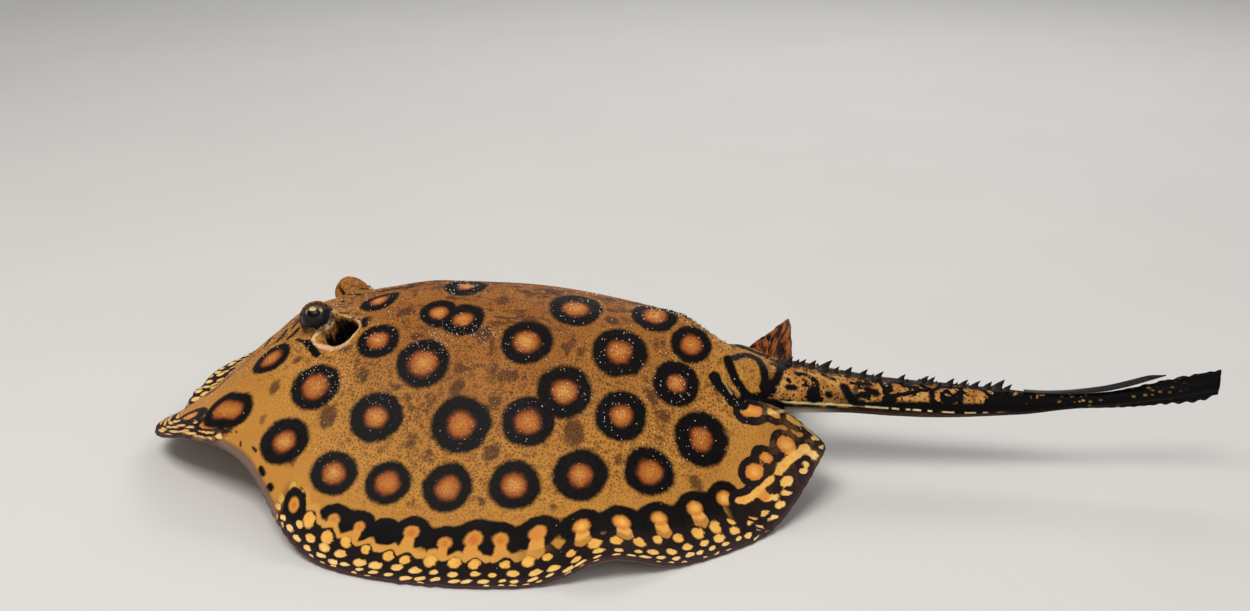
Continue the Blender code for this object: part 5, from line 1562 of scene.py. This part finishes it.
def ball_grid(nr, ns):
    th = np.linspace(0, np.pi, nr + 1)
    ph = np.linspace(0, 2 * np.pi, ns, endpoint=False)
    T, F = np.meshgrid(th[1:-1], ph, indexing="ij")
    v = np.stack([np.sin(T) * np.cos(F), np.sin(T) * np.sin(F), np.cos(T)], -1).reshape(-1, 3)
    v = np.concatenate([[[0, 0, 1.0]], v, [[0, 0, -1.0]]])
    f = []
    row = lambda i, j: 1 + i * ns + j % ns
    for j in range(ns):
        f.append((0, row(0, j), row(0, j + 1)))
        f.append((len(v) - 1, row(nr - 2, j + 1), row(nr - 2, j)))
    for i in range(nr - 2):
        for j in range(ns):
            f.append((row(i, j), row(i + 1, j), row(i + 1, j + 1), row(i, j + 1)))
    return v, f


for name, sd in SIDES:
    C = eye_centre(sd)
    n, up = eye_frame(sd)
    axis = np.array([0.08, sd * 0.84, 0.52])
    axis /= np.linalg.norm(axis)
    upv = up - axis * (up @ axis)
    upv /= np.linalg.norm(upv)
    sv = np.cross(upv, axis)
    if sv[0] < 0:
        sv = -sv
    v, f = ball_grid(56, 80)
    frame_m = np.stack([sv, upv, axis], 1)
    dirs = v @ frame_m.T
    ca = v[:, 2]
    ang = np.arccos(np.clip(ca, -1, 1))
    cornea = 0.42 * np.exp(-(ang / 0.62) ** 4)
    pos = C + dirs * (EYE_R - 0.06 + cornea * 0.6)[:, None]
    em = bpy.data.meshes.new("eye_" + name)
    em.from_pydata(world(pos).tolist(), [], [tuple(q) for q in f])
    put(em, "e_axis", ang * EYE_R)
    rad = np.hypot(v[:, 0], v[:, 1]) + 1e-9
    put(em, "e_side", v[:, 0] / rad * ang * EYE_R)
    put(em, "e_up", v[:, 1] / rad * ang * EYE_R)
    em.materials.append(EYE_MAT)
    ob = bpy.data.objects.new("eye_" + name + "_globe", em)
    bpy.context.scene.collection.objects.link(ob)
    if outward(ob):
        print("eye open")
    em.shade_smooth()
    lay = em.uv_layers.new(name="OFBake")
    li = np.zeros(len(em.loops), np.int32)
    em.loops.foreach_get("vertex_index", li)
    vi = v[li]
    out = vi[:, 2]
    lam = np.sqrt(2 / (1 + np.abs(out) + 1e-9)) * 0.5 / math.sqrt(2)
    fs = np.zeros(len(em.polygons), np.int32)
    ft = np.zeros(len(em.polygons), np.int32)
    em.polygons.foreach_get("loop_start", fs)
    em.polygons.foreach_get("loop_total", ft)
    fo = np.repeat(np.arange(len(fs)), ft)
    facing = np.bincount(fo, weights=out, minlength=len(fs))[fo] > 0
    a2 = np.where(facing, np.arccos(np.clip(out, -1, 1)), np.pi - np.arccos(np.clip(out, -1, 1)))
    rr = np.sin(np.clip(a2, 0, 1.75) / 2) / math.sin(0.80) * 0.235
    hyp = np.hypot(vi[:, 0], vi[:, 1]) + 1e-9
    u = np.where(facing, 0.25, 0.75) + vi[:, 0] / hyp * rr
    w_ = 0.5 + vi[:, 1] / hyp * rr
    lay.uv.foreach_set("vector", np.stack([u, w_], -1).astype(np.float32).ravel())
    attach(ob, "root")
    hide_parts("eye_" + name)


# ---------------------------------------------------------------- horny parts: tail thorns and the sting
def horn_material(name, tip, root, grain_scale, rough):
    mat = bpy.data.materials.new(name)
    t = Tree(mat)
    p = t.object_mm()
    h = t.attr("h_len")
    streak = t.noise(t.scaled(p, grain_scale), 1.0, 4.0, 0.6)
    c = t.mix(t.step(t.add(h, t.wob(p, 0.7, 0.25)), 0.15, 0.95), root, tip)
    c = t.mix(t.mul(t.step(streak, 0.50, 0.72), 0.55), c, lin(46, 30, 20))
    t.put(t.bsdf.inputs["Base Color"], c)
    t.put(t.bsdf.inputs["Roughness"], t.add(rough, t.mul(streak, 0.2)))
    t.put(t.bsdf.inputs["Normal"], t.bumps((streak, 0.0002, 0.5)))
    t.bsdf.inputs["Coat Weight"].default_value = 0.05
    t.bsdf.inputs["Coat Roughness"].default_value = 0.2
    t.bsdf.inputs["Specular IOR Level"].default_value = 0.2
    return mat


THORNS = [(106.4, 3.3), (109.0, 2.6), (111.0, 2.9), (114.6, 3.4), (119.0, 4.6), (123.0, 2.7), (127.4, 3.7), (132.7, 3.5),
          (138.2, 3.3), (146.3, 3.3), (154.0, 3.4), (156.6, 3.2), (163.6, 3.2), (168.2, 3.2), (172.2, 3.3),
          (176.8, 3.4), (180.4, 4.6), (183.6, 3.0)]


class Bag:
    """Many small closed pieces in one mesh."""
    def __init__(self):
        self.v, self.f, self.len, self.uv = [], [], [], []
        self.n = 0

    def loft(self, rings, lengths, cell, cols):
        m = len(rings[0])
        base = self.n
        for r, l in zip(rings, lengths):
            for q in r:
                self.v.append(q)
                self.len.append(l)
                self.n += 1
        gx, gy = cell % cols, cell // cols
        size = 1.0 / cols

        def place(i, j):
            return ((gx + 0.06 + 0.88 * j / m) * size, (gy + 0.08 + 0.84 * i / (len(rings) - 1)) * size)
        for i in range(len(rings) - 1):
            for j in range(m):
                k = (j + 1) % m
                self.f.append((base + i * m + j, base + i * m + k, base + (i + 1) * m + k, base + (i + 1) * m + j))
                self.uv.append([place(i, j), place(i, j + 1), place(i + 1, j + 1), place(i + 1, j)])
        self.f.append(tuple(base + j for j in range(m - 1, -1, -1)))
        self.uv.append([((gx + 0.02 + 0.02 * math.cos(2 * math.pi * j / m)) * size, (gy + 0.03 + 0.02 * math.sin(2 * math.pi * j / m)) * size) for j in range(m - 1, -1, -1)])
        last = base + (len(rings) - 1) * m
        self.f.append(tuple(last + j for j in range(m)))
        self.uv.append([((gx + 0.97 + 0.02 * math.cos(2 * math.pi * j / m)) * size, (gy + 0.96 + 0.02 * math.sin(2 * math.pi * j / m)) * size) for j in range(m)])

    def build(self, name, mat, replaces=()):
        md = bpy.data.meshes.new(name)
        md.from_pydata(world(np.array(self.v)).tolist(), [], self.f)
        put(md, "h_len", self.len)
        lay = md.uv_layers.new(name="OFBake")
        lay.uv.foreach_set("vector", np.array([c for f in self.uv for c in f], np.float32).ravel())
        md.materials.append(mat)
        ob = bpy.data.objects.new(name, md)
        bpy.context.scene.collection.objects.link(ob)
        outward(ob)
        md.shade_smooth()
        md.set_sharp_from_angle(angle=math.radians(50))
        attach(ob, "root")
        if replaces:
            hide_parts(*replaces)
        return ob


def hook(bag, x, y, z, h, lean, wide, cell, cols, yaw=0.0):
    """A curved thorn, hooked toward the tail."""
    rings, lens = [], []
    for u in np.linspace(0, 1, 8):
        r = 0.33 * h * wide * (1 - u) ** 0.9 * (1 + 0.75 * math.exp(-(u / 0.13) ** 2)) + 0.03
        cx = x - 0.15 * h + lean * h * 1.25 * u ** 1.5
        cy = y + yaw * h * u
        cz = z - 0.5 + (h + 0.5) * (u - 0.10 * u * u)
        ring = []
        for j in range(9):
            a = 2 * math.pi * j / 9
            ring.append((cx + 1.55 * r * math.cos(a), cy + 0.9 * r * math.sin(a), cz - lean * 0.5 * r * math.cos(a)))
        rings.append(ring)
        lens.append(u)
    bag.loft(rings, lens, cell, cols)


thorns = Bag()
g = np.random.default_rng(17)
cells_n = 0
COLS = 12
for k, (x, h) in enumerate(THORNS):
    y0, z0 = tail_top(x)
    hook(thorns, x, y0 + g.uniform(-0.3, 0.3), z0, h * 0.97, g.uniform(0.42, 0.62), 1.0, cells_n, COLS, g.uniform(-0.06, 0.06))
    cells_n += 1
# smaller ones between and beside the big ones
for k in range(44):
    x = g.uniform(98, 190)
    y0, z0 = tail_top(x)
    w, h = tail_size(x)
    off = g.normal(0, 0.32) if k % 3 else g.uniform(-1.0, 1.0) * 0.75
    off = float(np.clip(off, -0.8, 0.8))
    hook(thorns, x, y0 + off * w * 0.8, z0 - h * (1 - math.sqrt(max(0.0, 1 - (abs(off) * 0.8) ** 2))), g.uniform(0.6, 1.3), 0.45, 1.1,
         cells_n, COLS, off * 0.4)
    cells_n += 1
HORN = horn_material("tail_horn", lin(6, 4, 4), lin(26, 17, 12), (1.2, 1.2, 2.5), 0.40)
thorns.build("tail_thorns", HORN)

# the sting: a flat blade with a low keel and fine teeth leaning toward its root
STING_X0, STING_X1 = 189.5, 238.0


def sting_half(u):
    """Half thickness of the blade along its length."""
    return 0.22 + 0.92 * float(sstep(np.array(u), 0.05, 0.72)) - 0.92 * float(sstep(np.array(u), 0.86, 1.02))


def sting_wide(u):
    return 1.15 + 1.05 * float(sstep(np.array(u), 0.0, 0.6)) - 1.9 * max((u - 0.78) / 0.22, 0.0) ** 1.8


blade = Bag()
rings, lens = [], []
N = 150
for i in range(N + 1):
    u = i / N
    x = STING_X0 + (STING_X1 - STING_X0) * u
    yb, zt = tail_top(x)
    h = sting_half(u)
    w = sting_wide(u)
    z = zt + fold_size(x)[0] + 0.3 + h + 0.10 + 1.1 * min(max((x - 218.0) / 20.0, 0.0), 1.0) ** 1.3
    tooth = ((i * 0.5) % 2.0) / 2.0
    w *= 0.97 - 0.12 * tooth * float(sstep(np.array(u), 0.18, 0.3))
    h *= 0.96
    rings.append([(x, yb - w, z), (x, yb - 0.62 * w, z - 0.62 * h), (x, yb - 0.2 * w, z - h * 0.85), (x, yb, z - h * 0.55),
                  (x, yb + 0.2 * w, z - h * 0.85), (x, yb + 0.62 * w, z - 0.62 * h), (x, yb + w, z),
                  (x, yb + 0.62 * w, z + 0.6 * h), (x, yb + 0.24 * w, z + 0.72 * h), (x, yb, z + h), (x, yb - 0.24 * w, z + 0.72 * h),
                  (x, yb - 0.62 * w, z + 0.6 * h)])
    lens.append(u)
blade.loft(rings, lens, 0, 1)
blade.build("sting_blade", horn_material("sting_horn", lin(13, 9, 9), lin(23, 16, 14), (0.12, 1.6, 1.6), 0.42), ("sting",))

# ---------------------------------------------------------------- denticles: tiny pale points over the back, dark ones on the crown; the pale ones' near-white colour is partly painted glint
def denticle_glint_material():
    mat = bpy.data.materials.new("denticles_and_glints")
    t = Tree(mat)
    p = t.object_mm()
    shine = t.noise(p, 1.6, 2.0)
    # near white: partly the denticles' own pale colour, partly painted glint
    c = t.mix(t.step(t.attr("h_len"), 0.45, 0.55), t.mix(t.step(shine, 0.35, 0.65), lin(252, 246, 238), lin(224, 198, 170)), lin(30, 19, 14))
    t.put(t.bsdf.inputs["Base Color"], c)
    t.put(t.bsdf.inputs["Roughness"], t.add(0.25, t.mul(shine, 0.2)))
    t.bsdf.inputs["Coat Weight"].default_value = 0.3
    t.put(t.bsdf.inputs["Normal"], t.bumps((shine, 0.0001, 0.3)))
    return mat


dg_ = np.random.default_rng(41)
top_i = np.nonzero(is_top & (GD > 9) & (NRM[:, 2] > 0.2) & (pit_shade < 0.05) & (sock < 0.05) & (cream < 0.3))[0]
CLUSTERS = [(-58, -43, 4.0, 46), (-49, -46, 5.0, 60), (-44, -41, 4.0, 40), (-37, -30, 5.5, 36), (-17, -37, 7.0, 46), (-14, -30, 5.0, 60),
            (-9, -24, 5.0, 50), (2, -26, 5.0, 44), (-31, -52, 6.0, 30), (-42, -67, 6.0, 26), (14, -30, 6.0, 34), (32, -40, 7.0, 34),
            (22, -50, 7.0, 30), (50, -41, 7.0, 36), (48, -24, 6.0, 34), (66, -46, 7.0, 34), (70, -24, 5.0, 30), (58, -4, 6.0, 26),
            (30, -8, 7.0, 30), (78, -36, 6.0, 34), (90, -24, 6.0, 26), (-12, 0, 6.0, 26), (60, -30, 6.0, 30), (5, -58, 7.0, 26)]
picks = []
for cx, cy, r, many in CLUSTERS:
    for side in (1, -1):
        w_ = np.exp(-((X[top_i] - cx) ** 2 + (side * Y[top_i] - cy) ** 2) / (r * r))
        picks += list(dg_.choice(top_i, int(many * (1.0 if side > 0 else 0.6)), p=w_ / w_.sum()))
area_w = np.where(GD[top_i] > 24, 1.0, 0.45) * (1 - 0.6 * sstep(GT[top_i], 0.1, 0.0))
picks += list(dg_.choice(top_i, 900, p=area_w / area_w.sum()))
crown_i = np.nonzero(is_top & (np.abs(Y) < 5.5) & (X > -50) & (X < 92))[0]
dark_picks = list(dg_.choice(crown_i, 420, replace=False))
GRID_N = 54
dv_, df_, dl_, duv_ = [], [], [], []
for k, i in enumerate(picks + dark_picks):
    dark_one = k >= len(picks)
    n_ = NRM[i] / (np.linalg.norm(NRM[i]) + 1e-9)
    side_ = np.cross(n_, [0.0, 1.0, 0.0])
    side_ /= np.linalg.norm(side_) + 1e-9
    other = np.cross(n_, side_)
    r_ = dg_.uniform(0.15, 0.33) if not dark_one else dg_.uniform(0.16, 0.26)
    h_ = r_ * (dg_.uniform(0.9, 1.6) if not dark_one else dg_.uniform(1.8, 3.0))
    spin = dg_.uniform(0, 1.5)
    at = P[i] + dg_.uniform(-0.3, 0.3) * side_ + dg_.uniform(-0.3, 0.3) * other - 0.10 * n_
    b0 = len(dv_)
    for j in range(4):
        a_ = spin + j * math.pi / 2
        dv_.append(at + r_ * (math.cos(a_) * side_ + math.sin(a_) * other))
    dv_.append(at + n_ * (h_ + 0.10) + np.array([0.35 * h_, 0, 0]))
    dl_ += [1.0 if dark_one else 0.0] * 5
    gx_, gy_ = (k % GRID_N) / GRID_N, (k // GRID_N) / GRID_N
    q_ = 1.0 / GRID_N
    corner_uv = [(gx_ + q_ * (0.5 + 0.36 * math.cos(j * math.pi / 2)), gy_ + q_ * (0.62 + 0.30 * math.sin(j * math.pi / 2))) for j in range(4)]
    mid_uv = (gx_ + q_ * 0.5, gy_ + q_ * 0.62)
    for j in range(4):
        m_ = (j + 1) % 4
        df_.append((b0 + j, b0 + m_, b0 + 4))
        duv_ += [corner_uv[j], corner_uv[m_], mid_uv]
    df_.append((b0 + 3, b0 + 2, b0 + 1, b0))
    duv_ += [(gx_ + q_ * 0.10, gy_ + q_ * 0.06), (gx_ + q_ * 0.24, gy_ + q_ * 0.06), (gx_ + q_ * 0.24, gy_ + q_ * 0.20), (gx_ + q_ * 0.10, gy_ + q_ * 0.20)]
dm = bpy.data.meshes.new("denticles_and_glints")
dm.from_pydata(world(np.array(dv_)).tolist(), [], df_)
put(dm, "h_len", dl_)
lay_d = dm.uv_layers.new(name="OFBake")
lay_d.uv.foreach_set("vector", np.array(duv_, np.float32).ravel())
dm.materials.append(denticle_glint_material())
dob = bpy.data.objects.new("denticles_and_glints", dm)
bpy.context.scene.collection.objects.link(dob)
outward(dob)
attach(dob, "root")
print("denticles_and_glints", len(picks) + len(dark_picks), "cells", GRID_N * GRID_N)

# ---------------------------------------------------------------- floor, light, camera
fm = bpy.data.materials.new("floor_plain")
ft_ = Tree(fm)
fp = ft_.object_mm()
ft_.put(ft_.bsdf.inputs["Base Color"], ft_.mix(ft_.noise(fp, 0.01, 2.0), (0.62, 0.60, 0.57, 1), (0.66, 0.64, 0.61, 1)))
ft_.bsdf.inputs["Roughness"].default_value = 0.9
fmesh = bpy.data.meshes.new("floor")
R_ = 12.0
fmesh.from_pydata([(-R_, -R_, -0.0003), (R_, -R_, -0.0003), (R_, R_, -0.0003), (-R_, R_, -0.0003)], [], [(0, 1, 2, 3)])
fmesh.materials.append(fm)
floor = bpy.data.objects.new("floor", fmesh)
bpy.context.scene.collection.objects.link(floor)

wd = bpy.data.worlds.new("studio")
bpy.context.scene.world = wd
wd.use_nodes = True
wd.node_tree.nodes["Background"].inputs["Color"].default_value = (0.93, 0.95, 1.0, 1)
wd.node_tree.nodes["Background"].inputs["Strength"].default_value = 0.36


def area(name, at, aim, size, watts, colour=(1, 1, 1)):
    li = bpy.data.lights.new(name, "AREA")
    li.shape = "RECTANGLE"
    li.size, li.size_y = size
    li.energy = watts
    li.color = colour
    ob = bpy.data.objects.new(name, li)
    bpy.context.scene.collection.objects.link(ob)
    ob.location = at
    ob.rotation_euler = (Vector(aim) - Vector(at)).to_track_quat("-Z", "Y").to_euler()
    return ob


area("key", (-0.25, -0.45, 1.05), (0, 0, 0.02), (0.7, 0.5), 9.5, (1.0, 0.97, 0.92))
area("fill", (0.9, -0.9, 0.6), (0, 0, 0.03), (0.9, 0.9), 3.0, (0.95, 0.97, 1.0))
area("back", (0.1, 0.95, 0.75), (0, 0, 0.03), (0.9, 0.4), 4.0)

cam_data = bpy.data.cameras.new("photo_view")
cam_data.sensor_width = 36.0
cam_data.lens = 43.2
cam_data.clip_start, cam_data.clip_end = 0.01, 40.0
cam = bpy.data.objects.new("photo_view", cam_data)
bpy.context.scene.collection.objects.link(cam)
AZ, DOWN = math.radians(9.93), math.radians(20.6)
back_v = np.array([math.sin(AZ) * math.cos(DOWN), -math.cos(AZ) * math.cos(DOWN), math.sin(DOWN)])
right_v = np.array([math.cos(AZ), math.sin(AZ), 0.0])
up_v = np.cross(back_v, right_v)
target = np.array([0, 0, 30.0]) + 557.5 * back_v - right_v * (501 - 625) * 557.5 / 1500 + up_v * (363.5 - 305.5) * 557.5 / 1500
cam.location = Vector(world(target))
cam.rotation_mode = "QUATERNION"
cam.rotation_quaternion = Matrix((right_v, up_v, back_v)).transposed().to_quaternion()
bpy.context.scene.camera = cam
bpy.context.scene.view_settings.view_transform = "Standard"
